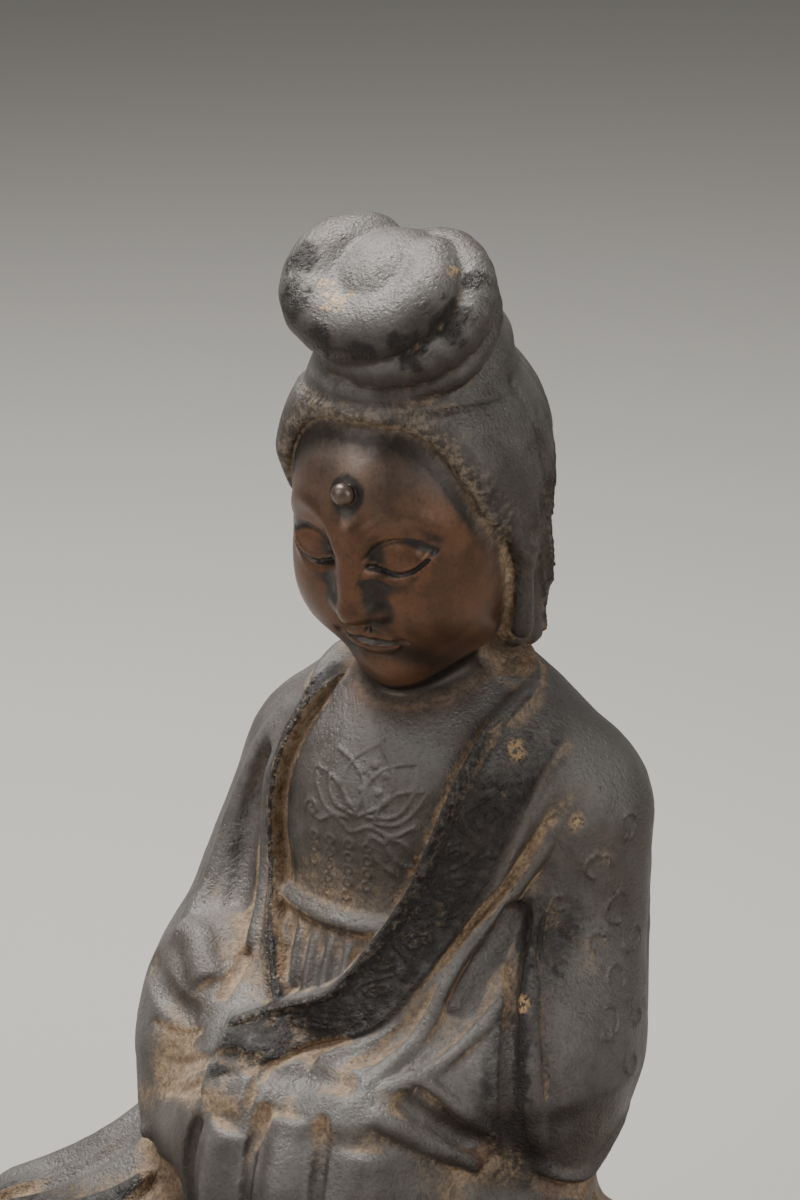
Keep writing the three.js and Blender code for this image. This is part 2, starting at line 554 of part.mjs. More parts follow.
function thin({ points, triangles }, target, weightAt) {
  const count = points.length / 3;
  const planes = new Float64Array(count * TERMS);
  const around = Array.from({ length: count }, () => []);
  const changes = new Uint32Array(count);
  const alive = new Uint8Array(triangles.length / 3).fill(1);
  const normal = new Float64Array(3);
  let left = alive.length;

  function measure(t, moved, x, y, z) {
    const [a, b, c] = [triangles[3 * t], triangles[3 * t + 1], triangles[3 * t + 2]];
    const ax = a === moved ? x : points[3 * a];
    const ay = a === moved ? y : points[3 * a + 1];
    const az = a === moved ? z : points[3 * a + 2];
    const ux = (b === moved ? x : points[3 * b]) - ax;
    const uy = (b === moved ? y : points[3 * b + 1]) - ay;
    const uz = (b === moved ? z : points[3 * b + 2]) - az;
    const vx = (c === moved ? x : points[3 * c]) - ax;
    const vy = (c === moved ? y : points[3 * c + 1]) - ay;
    const vz = (c === moved ? z : points[3 * c + 2]) - az;
    normal[0] = uy * vz - uz * vy;
    normal[1] = uz * vx - ux * vz;
    normal[2] = ux * vy - uy * vx;
    return length3(normal[0], normal[1], normal[2]);
  }

  for (let t = 0; t < alive.length; t++) {
    const area = measure(t, -1, 0, 0, 0) || 1e-12;
    const [a, b, c] = [normal[0] / area, normal[1] / area, normal[2] / area];
    const at = 3 * triangles[3 * t];
    const d = -(a * points[at] + b * points[at + 1] + c * points[at + 2]);
    const weight = area * weightAt(points[at], points[at + 1], points[at + 2]);
    const terms = [a * a, a * b, a * c, a * d, b * b, b * c, b * d, c * c, c * d, d * d];
    for (let n = 0; n < 3; n++) {
      const v = triangles[3 * t + n];
      around[v].push(t);
      for (let m = 0; m < TERMS; m++) planes[TERMS * v + m] += weight * terms[m];
    }
  }

  const sum = new Float64Array(TERMS);
  const error = (x, y, z) =>
    sum[0] * x * x + 2 * sum[1] * x * y + 2 * sum[2] * x * z + 2 * sum[3] * x + sum[4] * y * y +
    2 * sum[5] * y * z + 2 * sum[6] * y + sum[7] * z * z + 2 * sum[8] * z + sum[9];

  const heap = new Heap();
  function offer(a, b) {
    for (let m = 0; m < TERMS; m++) sum[m] = planes[TERMS * a + m] + planes[TERMS * b + m];
    const [ax, ay, az] = [points[3 * a], points[3 * a + 1], points[3 * a + 2]];
    const [dx, dy, dz] = [points[3 * b] - ax, points[3 * b + 1] - ay, points[3 * b + 2] - az];
    const start = error(ax, ay, az);
    const middle = error(ax + dx / 2, ay + dy / 2, az + dz / 2);
    const end = error(ax + dx, ay + dy, az + dz);
    // Along the edge the error is a parabola, so its lowest place follows from three values.
    const bend = 2 * (start + end - 2 * middle);
    const share = bend > 1e-12 ? clamp((3 * start + end - 4 * middle) / (2 * bend), 0, 1) : 0.5;
    const low = error(ax + share * dx, ay + share * dy, az + share * dz);
    const cost = low + 1e-4 * (dx * dx + dy * dy + dz * dz);
    heap.push({ cost, a, b, share, state: changes[a] + changes[b] });
  }

  function neighbours(v) {
    const found = [];
    for (const t of around[v]) {
      for (let n = 0; n < 3; n++) {
        const w = triangles[3 * t + n];
        if (w !== v && !found.includes(w)) found.push(w);
      }
    }
    return found;
  }

  function folds(v, other, x, y, z) {
    for (const t of around[v]) {
      if (triangles[3 * t] === other || triangles[3 * t + 1] === other || triangles[3 * t + 2] === other) {
        continue;
      }
      const before = measure(t, -1, 0, 0, 0);
      const [nx, ny, nz] = normal;
      const after = measure(t, v, x, y, z);
      const turn = nx * normal[0] + ny * normal[1] + nz * normal[2];
      if (after < 1e-3 || turn < 0.3 * before * after) return true;
    }
    return false;
  }

  for (let v = 0; v < count; v++) {
    for (const w of neighbours(v)) if (v < w) offer(v, w);
  }
  while (left > target && heap.items.length) {
    const { a, b, share, state } = heap.pop();
    if (!around[a] || !around[b] || state !== changes[a] + changes[b]) continue;
    const near = neighbours(a);
    if (neighbours(b).filter((v) => near.includes(v)).length !== 2) continue;
    const place = [0, 1, 2].map((n) => points[3 * a + n] * (1 - share) + points[3 * b + n] * share);
    if (folds(a, b, ...place) || folds(b, a, ...place)) continue;
    for (const t of around[b]) {
      const corners = [triangles[3 * t], triangles[3 * t + 1], triangles[3 * t + 2]];
      if (corners.includes(a)) {
        alive[t] = 0;
        left--;
        for (const v of corners) if (v !== b) around[v] = around[v].filter((s) => s !== t);
      } else {
        triangles[3 * t + corners.indexOf(b)] = a;
        around[a].push(t);
      }
    }
    around[b] = null;
    for (let n = 0; n < 3; n++) points[3 * a + n] = place[n];
    for (let m = 0; m < TERMS; m++) planes[TERMS * a + m] += planes[TERMS * b + m];
    changes[a] += 1;
    for (const v of neighbours(a)) offer(a, v);
  }

  const renamed = new Map();
  const keptPoints = [];
  const keptTriangles = [];
  for (let t = 0; t < alive.length; t++) {
    if (!alive[t]) continue;
    for (let n = 0; n < 3; n++) {
      const v = triangles[3 * t + n];
      if (!renamed.has(v)) {
        renamed.set(v, keptPoints.length / 3);
        keptPoints.push(points[3 * v], points[3 * v + 1], points[3 * v + 2]);
      }
      keptTriangles.push(renamed.get(v));
    }
  }
  return { points: keptPoints, triangles: keptTriangles };
}

// The face, hands and open neck keep more of their triangles than the plain back does.
function importance(x, y, z) {
  if (y > 20) return 0.3;
  if (z > NAPE && y < 4) return 8;
  return z > 40 ? 1.6 : 0.6;
}

// Each corner goes back onto the surface, but by less than the smallest triangles measure.
function rest(points) {
  const step = 0.3;
  const most = 0.5;
  for (let n = 0; n < points.length; n += 3) {
    const [x, y, z] = [points[n], points[n + 1], points[n + 2]];
    if (z < step) continue;
    const gx = (figure(x + step, y, z) - figure(x - step, y, z)) / (2 * step);
    const gy = (figure(x, y + step, z) - figure(x, y - step, z)) / (2 * step);
    const gz = (figure(x, y, z + step) - figure(x, y, z - step)) / (2 * step);
    const steep = Math.max(length3(gx, gy, gz), 0.5);
    const way = clamp(-figure(x, y, z) / steep, -most, most);
    points[n] += (way * gx) / steep;
    points[n + 1] += (way * gy) / steep;
    points[n + 2] += (way * gz) / steep;
  }
}

function figureMesh() {
  const { points, triangles } = thin(findSurface(figure), TRIANGLES, importance);
  rest(points);
  return { points: points.map((v) => v * SCALE), triangles };
}

// The base: a low oval block with a hollow moulding, as long and deep as the seated figure needs
function baseMesh() {
  const halfWidth = KNEE_REACH * SCALE + BASE_MARGIN;
  const halfDepth = ((HIP_REACH - SHIN_REACH) / 2) * SCALE + BASE_MARGIN;
  const profile = [
    [0, 0],
    [BASE_FOOT_LIP, 0],
    [BASE_FOOT_LIP, BASE_EDGE],
    [-BASE_WAIST, BASE_EDGE + 1],
    [-BASE_WAIST, BASE_HEIGHT - BASE_EDGE - 1],
    [0, BASE_HEIGHT - BASE_EDGE],
    [0, BASE_HEIGHT - 1],
    [-1, BASE_HEIGHT],
  ];
  const points = [0, 0, 0];
  for (const [out, height] of profile.slice(1)) {
    for (let n = 0; n < BASE_SIDES; n++) {
      const angle = (2 * Math.PI * n) / BASE_SIDES;
      points.push((halfWidth + out) * Math.cos(angle), (halfDepth + out) * Math.sin(angle), height);
    }
  }
  const top = points.length / 3;
  points.push(0, 0, BASE_HEIGHT);
  const triangles = [];
  const rings = profile.length - 1;
  const at = (ring, n) => 1 + ring * BASE_SIDES + (n % BASE_SIDES);
  for (let n = 0; n < BASE_SIDES; n++) {
    triangles.push(0, at(0, n + 1), at(0, n));
    triangles.push(top, at(rings - 1, n), at(rings - 1, n + 1));
    for (let ring = 0; ring + 1 < rings; ring++) {
      triangles.push(at(ring, n), at(ring, n + 1), at(ring + 1, n + 1));
      triangles.push(at(ring, n), at(ring + 1, n + 1), at(ring + 1, n));
    }
  }
  return { points, triangles };
}

const wasm = await Module();
wasm.setup();

function solid({ points, triangles }) {
  const mesh = new wasm.Mesh({
    numProp: 3,
    vertProperties: new Float32Array(points),
    triVerts: new Uint32Array(triangles),
  });
  return new wasm.Manifold(mesh);
}

function geometryOf(manifold) {
  const { numProp, vertProperties, triVerts } = manifold.getMesh();
  const geometry = new THREE.BufferGeometry();
  geometry.setAttribute("position", new THREE.BufferAttribute(vertProperties, numProp));
  geometry.setIndex(new THREE.BufferAttribute(triVerts, 1));
  geometry.computeVertexNormals();
  return geometry;
}

const seat = [0, (-(HIP_REACH + SHIN_REACH) / 2) * SCALE, BASE_HEIGHT];
const casting = solid(figureMesh()).translate(seat).add(solid(baseMesh()));

const bronze = new THREE.MeshStandardMaterial({ color: BRONZE, roughness: 0.55, metalness: 0.7 });
const guanyin = new THREE.Mesh(geometryOf(casting), bronze);
guanyin.name = "guanyin_figure";

const part = new THREE.Group();
part.add(guanyin);

export default part;
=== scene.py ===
"""A seated Guanyin figure, cast in bronze in one piece with its low oval base.

The forms are drawn in millimetres, with 0 at the top of the base and the figure looking along -Y.
"""

import math

import bpy
import numpy as np
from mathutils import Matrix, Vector


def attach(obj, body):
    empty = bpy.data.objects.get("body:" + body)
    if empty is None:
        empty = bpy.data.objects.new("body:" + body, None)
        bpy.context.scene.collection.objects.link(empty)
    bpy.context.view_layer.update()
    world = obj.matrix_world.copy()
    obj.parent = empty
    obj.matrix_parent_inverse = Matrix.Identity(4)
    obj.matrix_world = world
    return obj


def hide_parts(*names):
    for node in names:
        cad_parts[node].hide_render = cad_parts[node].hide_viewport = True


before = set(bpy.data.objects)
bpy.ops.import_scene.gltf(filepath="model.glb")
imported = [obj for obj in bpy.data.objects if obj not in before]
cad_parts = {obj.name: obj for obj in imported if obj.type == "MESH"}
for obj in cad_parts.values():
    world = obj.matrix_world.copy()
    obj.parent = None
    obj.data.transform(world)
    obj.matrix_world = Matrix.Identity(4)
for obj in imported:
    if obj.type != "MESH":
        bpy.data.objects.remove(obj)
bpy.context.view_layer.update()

MM = 0.001

# Sizes of the casting, in millimetres, above the top of its base
BASE_HEIGHT = 14.0
BASE_MARGIN = 6.0
BASE_FOOT_LIP = 2.5
BASE_WAIST = 2.0
BASE_EDGE = 3.2
FIGURE_TOP = 264.0
NAPE = 158.0
NECKLINE_TOP = 164.0
NECKLINE_END = 87.0
CHEST_BAND = 106.0
NECK_RINGS = (172, 166.5)
HEAD_CENTRE = (0.0, 0.0, 199.0)
HEAD_BOW = math.radians(20)
CLOTH = 3.0
OVERLAP = 1.2
COLLAR_WIDTH = 15.0
KNEE_REACH = 108.0
KNEE = KNEE_REACH - 21.0  # middle of each knee
SHIN_REACH = -74.0
HIP_REACH = 56.0
SEAT = np.array([0.0, -(HIP_REACH + SHIN_REACH) / 2, BASE_HEIGHT])

GRID = 0.8  # spacing of the first surface
TRIANGLES = 190000  # of the finished piece


# Lumps and joins. Each form takes arrays of x, y, z and gives the distance to its surface.


def length3(x, y, z):
    return np.sqrt(x * x + y * y + z * z)


def blend(a, b, spread):
    h = np.maximum(spread - np.abs(a - b), 0) / spread
    return np.minimum(a, b) - h * h * (spread / 4)


def carve(form, tool, spread):
    return -blend(-form, tool, spread)


def egg(x, y, z, rx, ry, rz):
    far = length3(x / rx, y / ry, z / rz)
    steep = length3(x / rx**2, y / ry**2, z / rz**2)
    return far * (far - 1) / np.maximum(steep, 1e-6)


def limb(x, y, z, a, b, start_radius, end_radius):
    dx, dy, dz = b[0] - a[0], b[1] - a[1], b[2] - a[2]
    t = ((x - a[0]) * dx + (y - a[1]) * dy + (z - a[2]) * dz) / (dx * dx + dy * dy + dz * dz)
    t = np.clip(t, 0, 1)
    away = length3(x - a[0] - t * dx, y - a[1] - t * dy, z - a[2] - t * dz)
    return away - start_radius - t * (end_radius - start_radius)


def swell(offset, half_width):
    t = np.clip(np.abs(offset) / half_width, 0, 1)
    return (1 - t * t) ** 2


def ramp(start, end, value):
    t = np.clip((value - start) / (end - start), 0, 1)
    return t * t * (3 - 2 * t)


def smooth_curve(points, steps):
    """Points along a centripetal Catmull-Rom curve."""
    p = np.array(points, float)
    p = np.vstack([2 * p[0] - p[1], p, 2 * p[-1] - p[-2]])
    out = []
    for n in range(steps + 1):
        place = n / steps * (len(points) - 1)
        i = min(int(place), len(points) - 2)
        w = place - i
        p0, p1, p2, p3 = p[i : i + 4]
        d0, d1, d2 = (max(np.sum((b - a) ** 2) ** 0.25, 1e-4) for a, b in ((p0, p1), (p1, p2), (p2, p3)))
        t1 = ((p1 - p0) / d0 - (p2 - p0) / (d0 + d1) + (p2 - p1) / d1) * d1
        t2 = ((p2 - p1) / d1 - (p3 - p1) / (d1 + d2) + (p3 - p2) / d2) * d1
        c2 = -3 * p1 + 3 * p2 - 2 * t1 - t2
        c3 = 2 * p1 - 2 * p2 + t1 + t2
        out.append(p1 + t1 * w + c2 * w * w + c3 * w**3)
    return np.array(out)


def along_path(x, y, z, path):
    """Distance to a path of points, and how far along it the nearest place is, from 0 to 1."""
    nearest = np.full(x.shape, 1e6, np.float32)
    place = np.zeros(x.shape, np.float32)
    for i in range(len(path) - 1):
        a, d = path[i], path[i + 1] - path[i]
        t = np.clip(((x - a[0]) * d[0] + (y - a[1]) * d[1] + (z - a[2]) * d[2]) / max(d @ d, 1e-9), 0, 1)
        away = length3(x - a[0] - t * d[0], y - a[1] - t * d[1], z - a[2] - t * d[2])
        closer = away < nearest
        nearest = np.where(closer, away, nearest)
        place = np.where(closer, i + t, place)
    return nearest, place / (len(path) - 1)


class Fold:
    """A ridge, or a groove where its height is negative, along a curve on the cloth."""

    def __init__(self, points, half_width, height):
        self.path = smooth_curve(points, 5 * (len(points) - 1))
        self.half_width = half_width
        self.height = height
        self.low = self.path.min(0) - half_width
        self.high = self.path.max(0) + half_width

    def add_to(self, total, x, y, z):
        near = (x > self.low[0]) & (x < self.high[0]) & (y > self.low[1]) & (y < self.high[1])
        near &= (z > self.low[2]) & (z < self.high[2])
        if not near.any():
            return
        away, share = along_path(x[near], y[near], z[near], self.path)
        fade = ramp(0, 0.14, share) * ramp(0, 0.14, 1 - share)
        total[near] += self.height * fade * swell(away, self.half_width)


def lattice_noise(x, y, z, cell, seed):
    """Smooth random swells between -1 and 1, each about one cell across."""
    grid = np.random.default_rng(seed).uniform(-1, 1, (64, 64, 64)).astype(np.float32)
    places = [np.asarray(v, np.float64) / cell + 1000 for v in (x, y, z)]
    cells = [np.floor(v).astype(np.int64) for v in places]
    rests = [v - c for v, c in zip(places, cells)]
    rests = [t * t * (3 - 2 * t) for t in rests]
    total = 0
    for i in (0, 1):
        for j in (0, 1):
            for k in (0, 1):
                weight = 1
                for t, n in zip(rests, (i, j, k)):
                    weight = weight * (t if n else 1 - t)
                total = total + weight * grid[(cells[0] + i) % 64, (cells[1] + j) % 64, (cells[2] + k) % 64]
    return total


def arc(centre, radius, start, end, steps=10):
    """Points on part of a circle, with its angles in degrees."""
    turns = np.radians(np.linspace(start, end, steps))
    return [(centre[0] + radius * math.cos(t), centre[1] + radius * math.sin(t)) for t in turns]


def spiral(centre, radius, start, turns, steps=22):
    """Points that wind inwards from a circle to its middle."""
    out = []
    for n in range(steps):
        share = n / (steps - 1)
        t = math.radians(start) + share * turns * 2 * math.pi
        r = radius * (1 - 0.75 * share)
        out.append((centre[0] + r * math.cos(t), centre[1] + r * math.sin(t)))
    return out


class Drawing:
    """Raised lines, drawn flat and laid on the figure where the drawing touches it."""

    def __init__(self, centre, lines, half_width, height, reach, depth=7, turn=0):
        self.centre = settle([centre])[0]
        self.normal = body_slope(self.centre)
        right = np.cross((0, 0, 1), self.normal)
        right /= np.linalg.norm(right)
        up = np.cross(self.normal, right)
        cos, sin = math.cos(math.radians(turn)), math.sin(math.radians(turn))
        self.right = right * cos + up * sin
        self.up = up * cos - right * sin
        self.lines = [np.array(line, float) for line in lines]
        self.half_width = half_width
        self.height = height
        self.reach = reach
        self.depth = depth

    def add_to(self, total, x, y, z):
        near = (np.abs(x - self.centre[0]) < self.reach) & (np.abs(z - self.centre[2]) < self.reach)
        near &= np.abs(y - self.centre[1]) < self.reach
        if not near.any():
            return
        offset = np.stack([x[near], y[near], z[near]], 1) - self.centre
        a, b = offset @ self.right, offset @ self.up
        nearest = np.full(a.shape, 1e3)
        for line in self.lines:
            for p, q in zip(line[:-1], line[1:]):
                d = q - p
                t = np.clip(((a - p[0]) * d[0] + (b - p[1]) * d[1]) / max(d @ d, 1e-9), 0, 1)
                nearest = np.minimum(nearest, np.hypot(a - p[0] - t * d[0], b - p[1] - t * d[1]))
        onto = np.abs(offset @ self.normal) < self.depth
        total[near] += self.height * swell(nearest, self.half_width) * onto


# The figure's own forms


def trunk(x, y, z):
    side = np.abs(x)
    d = egg(x, y - 13, z - 98, 40, 31, 64)
    d = blend(d, egg(x, y - 3, z - 126, 32, 29, 32), 14)
    d = blend(d, egg(x, y + 4, z - 82, 34, 32, 30), 16)
    d = blend(d, limb(side, y, z, (0, 12, 146), (31, 14, 131), 12, 13.5), 12)
    return blend(d, limb(x, y, z, (0, 12, 148), (0, 0, 180), 13.5, 11.5), 8)


def sleeves(x, y, z):
    left = limb(x, y, z, (35, 13, 126), (37, 6, 74), 14, 14)
    left = blend(left, egg(x - 38, y + 4, z - 71, 13.5, 23, 29), 8)
    left = blend(left, limb(x, y, z, (37, -8, 74), (12, -42, 66), 14, 11.5), 8)
    right = limb(x, y, z, (-35, 13, 124), (-44, 0, 88), 14, 14)
    right = blend(right, egg(x + 44.5, y + 14, z - 65, 14.5, 24, 25), 8)
    right = blend(right, limb(x, y, z, (-42, -12, 78), (-14, -42, 66), 15, 11.5), 8)
    return np.minimum(left, right)


def lap(x, y, z):
    side = np.abs(x)
    d = egg(x, y - 14, z - 25, 32, 37, 33)
    d = blend(d, limb(side, y, z, (16, 3, 25), (KNEE, -31, 4), 19, 11), 12)
    d = blend(d, egg(side - KNEE, y + 31, z - 4, KNEE_REACH - KNEE, 21, 10), 8)
    d = blend(d, limb(side, y, z, (KNEE - 3, -39, 8), (4, SHIN_REACH + 17, 15), 12, 14), 10)
    d = blend(d, egg(x, y + 28, z - 7, KNEE - 11, 32, 26), 8)
    d = blend(d, egg(x, y - SHIN_REACH - 30, z - 30, 32, 20, 34), 10)
    # The robe lies thicker over the right thigh, where the sleeve rests on it.
    d = blend(d, limb(x, y, z, (-36, -8, 37), (5 - KNEE, -28, 10), 18, 10), 9)
    # Cloth is bunched below both sleeves.
    d = blend(d, limb(x, y, z, (-42, -30, 48), (-24, -44, 55), 9, 11), 7)
    d = blend(d, limb(x, y, z, (28, -28, 44), (38, -14, 40), 11, 10), 6)
    d = blend(d, egg(x, y - 14, z - 58, 32, 31, 36), 10)
    d = blend(d, egg(x, y - HIP_REACH + 36, z - 1, 56, 34, 16), 10)
    return blend(d, egg(x, y + 40, z - 54, 26, 19, 15), 10)


def body(x, y, z):
    return blend(blend(trunk(x, y, z), sleeves(x, y, z), 7), lap(x, y, z), 9)


def left_front(x, z):
    """How far a point is past the edge of the left front, seen from straight ahead.

    The edge comes down from the shoulder in a curve and turns level over the waist.
    """
    down = np.clip((NECKLINE_TOP - z) / (NECKLINE_TOP - NECKLINE_END), 0, 1.3)
    slope = (12 + 58 * down**2) / (NECKLINE_TOP - NECKLINE_END)
    falling = (x - 25 + 12 * down + 19.5 * down**3) / np.sqrt(1 + slope * slope)
    level = 1.25 * (NECKLINE_END + 4 + 0.39 * (x + 5) - z)
    return carve(falling, -level, 3)


def right_front(x, z):
    rise = (z - 124) / 34
    slope = 0.65 * rise
    return (11 * rise * rise - 27 - x) / np.sqrt(1 + slope * slope)


def neckline(x, y, z):
    front = np.maximum(np.maximum(left_front(x, z), right_front(x, z)), NECKLINE_END - z)
    return np.minimum(np.maximum(front, y - 6), NAPE - z + 0.3 * (y - 6))


def robe(x, y, z, edge=1.0):
    """Thickness of the robe over the body. edge is how sharply it starts at the neckline."""
    s = neckline(x, y, z)
    thickness = CLOTH * ramp(-1.3 * edge, 1.3 * edge, s) + 0.8 * swell(s - 2 * edge, 3.2 * edge)
    over = np.minimum(left_front(x, z), x + 25)
    front = OVERLAP * ramp(-1.2 * edge, 1.2 * edge, over) - 1.2 * swell(over - COLLAR_WIDTH, 2.8 * edge)
    return thickness + front * ramp(10, -8, y) * ramp(66, 72, z)


def underskirt(x, y, z):
    bare = ramp(1, -1, neckline(x, y, z)) * (y < 0) * (z > NECKLINE_END - 4) * (z < CHEST_BAND + 6)
    band = 1.6 * swell(z - CHEST_BAND, 3.4)
    pleats = 0.6 * np.cos(x * 1.25) * ramp(CHEST_BAND - 2, CHEST_BAND - 7, z)
    return bare * (band + pleats)


def settle(points):
    """Moves points near the cloth onto its surface."""
    p = np.array(points, float)
    step = 0.5
    for _ in range(6):
        x, y, z = p.T
        d = body(x, y, z) - robe(x, y, z)
        g = np.array(
            [
                body(x + step, y, z) - body(x - step, y, z),
                body(x, y + step, z) - body(x, y - step, z),
                body(x, y, z + step) - body(x, y, z - step),
            ]
        )
        g /= np.maximum(np.sqrt((g**2).sum(0)), 1e-9)
        p -= (d * g).T
    return p


def body_slope(point, step=0.5):
    x, y, z = (np.array([v]) for v in point)
    g = [
        body(x + step, y, z) - body(x - step, y, z),
        body(x, y + step, z) - body(x, y - step, z),
        body(x, y, z + step) - body(x, y, z - step),
    ]
    g = np.array(g)[:, 0]
    return g / np.linalg.norm(g)


def mirrored(points):
    return [(-x, y, z) for x, y, z in points]


def make_folds():
    folds = []

    def add(points, half_width, height):
        folds.append(Fold(settle(points), half_width, height))

    def add_both(points, half_width, height):
        add(points, half_width, height)
        add(mirrored(points), half_width, height)

    # Long folds of the left front, from the shoulder round under the collar to the waist
    add([(39, 2, 145), (33, -14, 127), (24, -25, 104), (11, -38, 85), (-5, -49, 77)], 3.8, 1.7)
    add([(43, 3, 143), (36, -11, 121), (28, -23, 104), (24, -30, 94), (21, -38, 85), (14, -52, 76)], 2.8, 2.6)
    between_them = [(42, -2, 139), (33, -13, 119), (25, -24, 105), (20, -33, 93), (15, -43, 84), (5, -50, 78)]
    add(between_them, 2.8, -1.4)
    # The pocket between those folds and the hanging sleeve, and the flat cloth of the forearm below it
    add([(34, -13, 114), (32, -18, 106), (29, -26, 98), (28, -31, 90)], 4.6, -4.2)
    add([(38, -24, 96), (34, -29, 89), (26, -42, 80), (18, -50, 77)], 2.6, 1.8)
    # The front edge of the left sleeve, and its hem
    add([(36, -12, 115), (37, -20, 101), (41, -30, 85), (42, -32, 72), (42, -30, 57)], 2.6, -2.8)
    add([(38, -9, 116), (39, -17, 103), (44, -26, 87), (46, -28, 74), (46, -25, 56)], 3.4, 2.2)
    add([(44, -26, 56), (49, -17, 50), (51, -8, 49), (51, 3, 54), (47, 16, 60)], 2, 1.7)
    add([(42, -24, 52), (47, -15, 46), (49, -6, 45), (49, 5, 49)], 2.2, -1.6)
    # The creases of the cloth over the left wrist
    add([(22, -45, 81), (27, -43, 79), (33, -40, 73), (39, -33, 65)], 2.4, 2.4)
    add([(22, -49, 77), (29, -45, 72), (33, -40, 67), (37, -34, 61)], 3.4, -4.4)
    add([(18, -54, 74), (26, -50, 69), (33, -40, 61), (37, -33, 56)], 3.4, 2)
    # The right shoulder, with its light outer edge and the dark hollow beside the chest
    add([(-33, -3, 145), (-45, -4, 122), (-49, -11, 104), (-50, -22, 93)], 4, 1.6)
    add([(-35, -8, 137), (-40, -9, 121), (-41, -13, 109), (-39, -20, 98)], 4.8, -4.6)
    add([(-31, -12, 137), (-34, -14, 120), (-33, -19, 106), (-29, -30, 92)], 3, 2.2)
    # The bunched cloth at the right elbow, and the fine creases over the forearm
    add([(-51, -22, 91), (-44, -26, 92), (-39, -31, 89), (-35, -36, 86)], 5.6, 3.4)
    add([(-56, -24, 84), (-49, -32, 82), (-42, -37, 80), (-34, -41, 80)], 4, -2.2)
    add([(-31, -28, 95), (-30, -33, 90), (-30, -38, 83)], 2.6, -2.4)
    add([(-40, -38, 66), (-26, -48, 74), (-16, -50, 79)], 2, -0.9)
    add([(-42, -36, 58), (-30, -50, 66), (-14, -54, 76)], 2, -0.9)
    # The lower edge of the right sleeve over the thigh
    add([(-42, -40, 50), (-50, -32, 46), (-58, -12, 48)], 2.8, 1.4)
    add([(-46, -40, 46), (-53, -32, 41), (-61, -12, 43)], 2.6, -2.2)
    # Cloth over the hidden hands, which falls over the front of the lap in rounded pleats
    add([(1, -56, 70), (1, -59, 66), (2, -63, 56), (3, -68, 38), (4, -70, 18)], 6, 4.2)
    add([(-14, -58, 65), (-15, -60, 61), (-17, -64, 50), (-20, -68, 32), (-22, -69, 18)], 6.4, 3.8)
    add([(19, -56, 67), (21, -60, 60), (24, -64, 46), (27, -67, 28)], 8, 2.4)
    add([(-6, -54, 71), (-7, -60, 64), (-7, -64, 54), (-8, -69, 36), (-9, -70, 18)], 2.3, -3)
    add([(9, -55, 72), (10, -60, 65), (11, -64, 54), (13, -68, 36), (14, -69, 18)], 2.5, -3)
    add([(-22, -53, 64), (-25, -57, 54), (-29, -62, 38), (-32, -65, 22)], 2.6, -3.2)
    # The shallow dip between the collar and those pleats
    add([(-24, -46, 74), (-10, -50, 75), (4, -50, 76), (16, -50, 76)], 4.2, -1.8)
    # Folds that run from the hip over each thigh to the knee
    add_both([(50, -10, 42), (66, -20, 34), (82, -28, 25), (98, -34, 14)], 4.6, 2.6)
    add_both([(53, -20, 42), (66, -30, 34), (80, -38, 24), (94, -44, 12)], 3.2, -2.6)
    add_both([(48, -34, 40), (62, -44, 31), (78, -50, 19), (90, -50, 8)], 5, 2.8)
    add_both([(44, -46, 36), (60, -56, 24), (78, -56, 12)], 3.2, -2.2)
    add_both([(40, 14, 42), (58, 0, 33), (80, -10, 20), (98, -20, 8)], 4, 1.6)
    # Slack pleats of the skirt across the shins
    for reach, level, depth in ((60, 30, -62), (50, 17, -66)):
        half = [(-reach, depth + 12, level + 4), (-reach / 2, depth, level - 5), (0, depth - 4, level - 8)]
        add(half + mirrored(half)[::-1][1:], 3.6, 1.8)
    # The plain back: hanging folds of the robe
    for x in (10, 27):
        add_both([(x * 0.55, 42, 138), (x * 0.9, 47, 96), (x * 1.25, 52, 44), (x * 1.35, 53, 14)], 4.6, 1.8)
    add_both([(44, 24, 122), (49, 20, 90), (49, 20, 60)], 4, 1.4)
    return folds


# The head, in its own frame. Its face is a plain one on the usual proportions: the brows, the foot of
# the nose and the chin are a third of the face apart.
FACE_THIRD = 21.0
BROW = FACE_THIRD / 2
NOSE_FOOT = -FACE_THIRD / 2
MOUTH = NOSE_FOOT - FACE_THIRD * 0.42


EYE = BROW - 8.5
LID_EDGE = [(4.4, EYE + 0.6), (7.2, EYE - 1.1), (10.4, EYE - 1.7), (13.6, EYE - 0.9), (16.6, EYE + 1.2)]
LID_CREASE = [(4.2, EYE + 2.4), (6.6, EYE + 5), (10.4, EYE + 6.2), (14.2, EYE + 5.2), (17.4, EYE + 2.4)]
BROW_ARCH = [(2.6, BROW - 3.6), (5.4, BROW + 0.8), (10.4, BROW + 3), (15.6, BROW + 1.8), (20.4, BROW - 3)]


def raised(curve):
    """The same curve drawn flat, as points that limb can use."""
    return smooth_curve([(x, 0, z) for x, z in curve], 16)


LID_EDGE, LID_CREASE, BROW_ARCH = raised(LID_EDGE), raised(LID_CREASE), raised(BROW_ARCH)


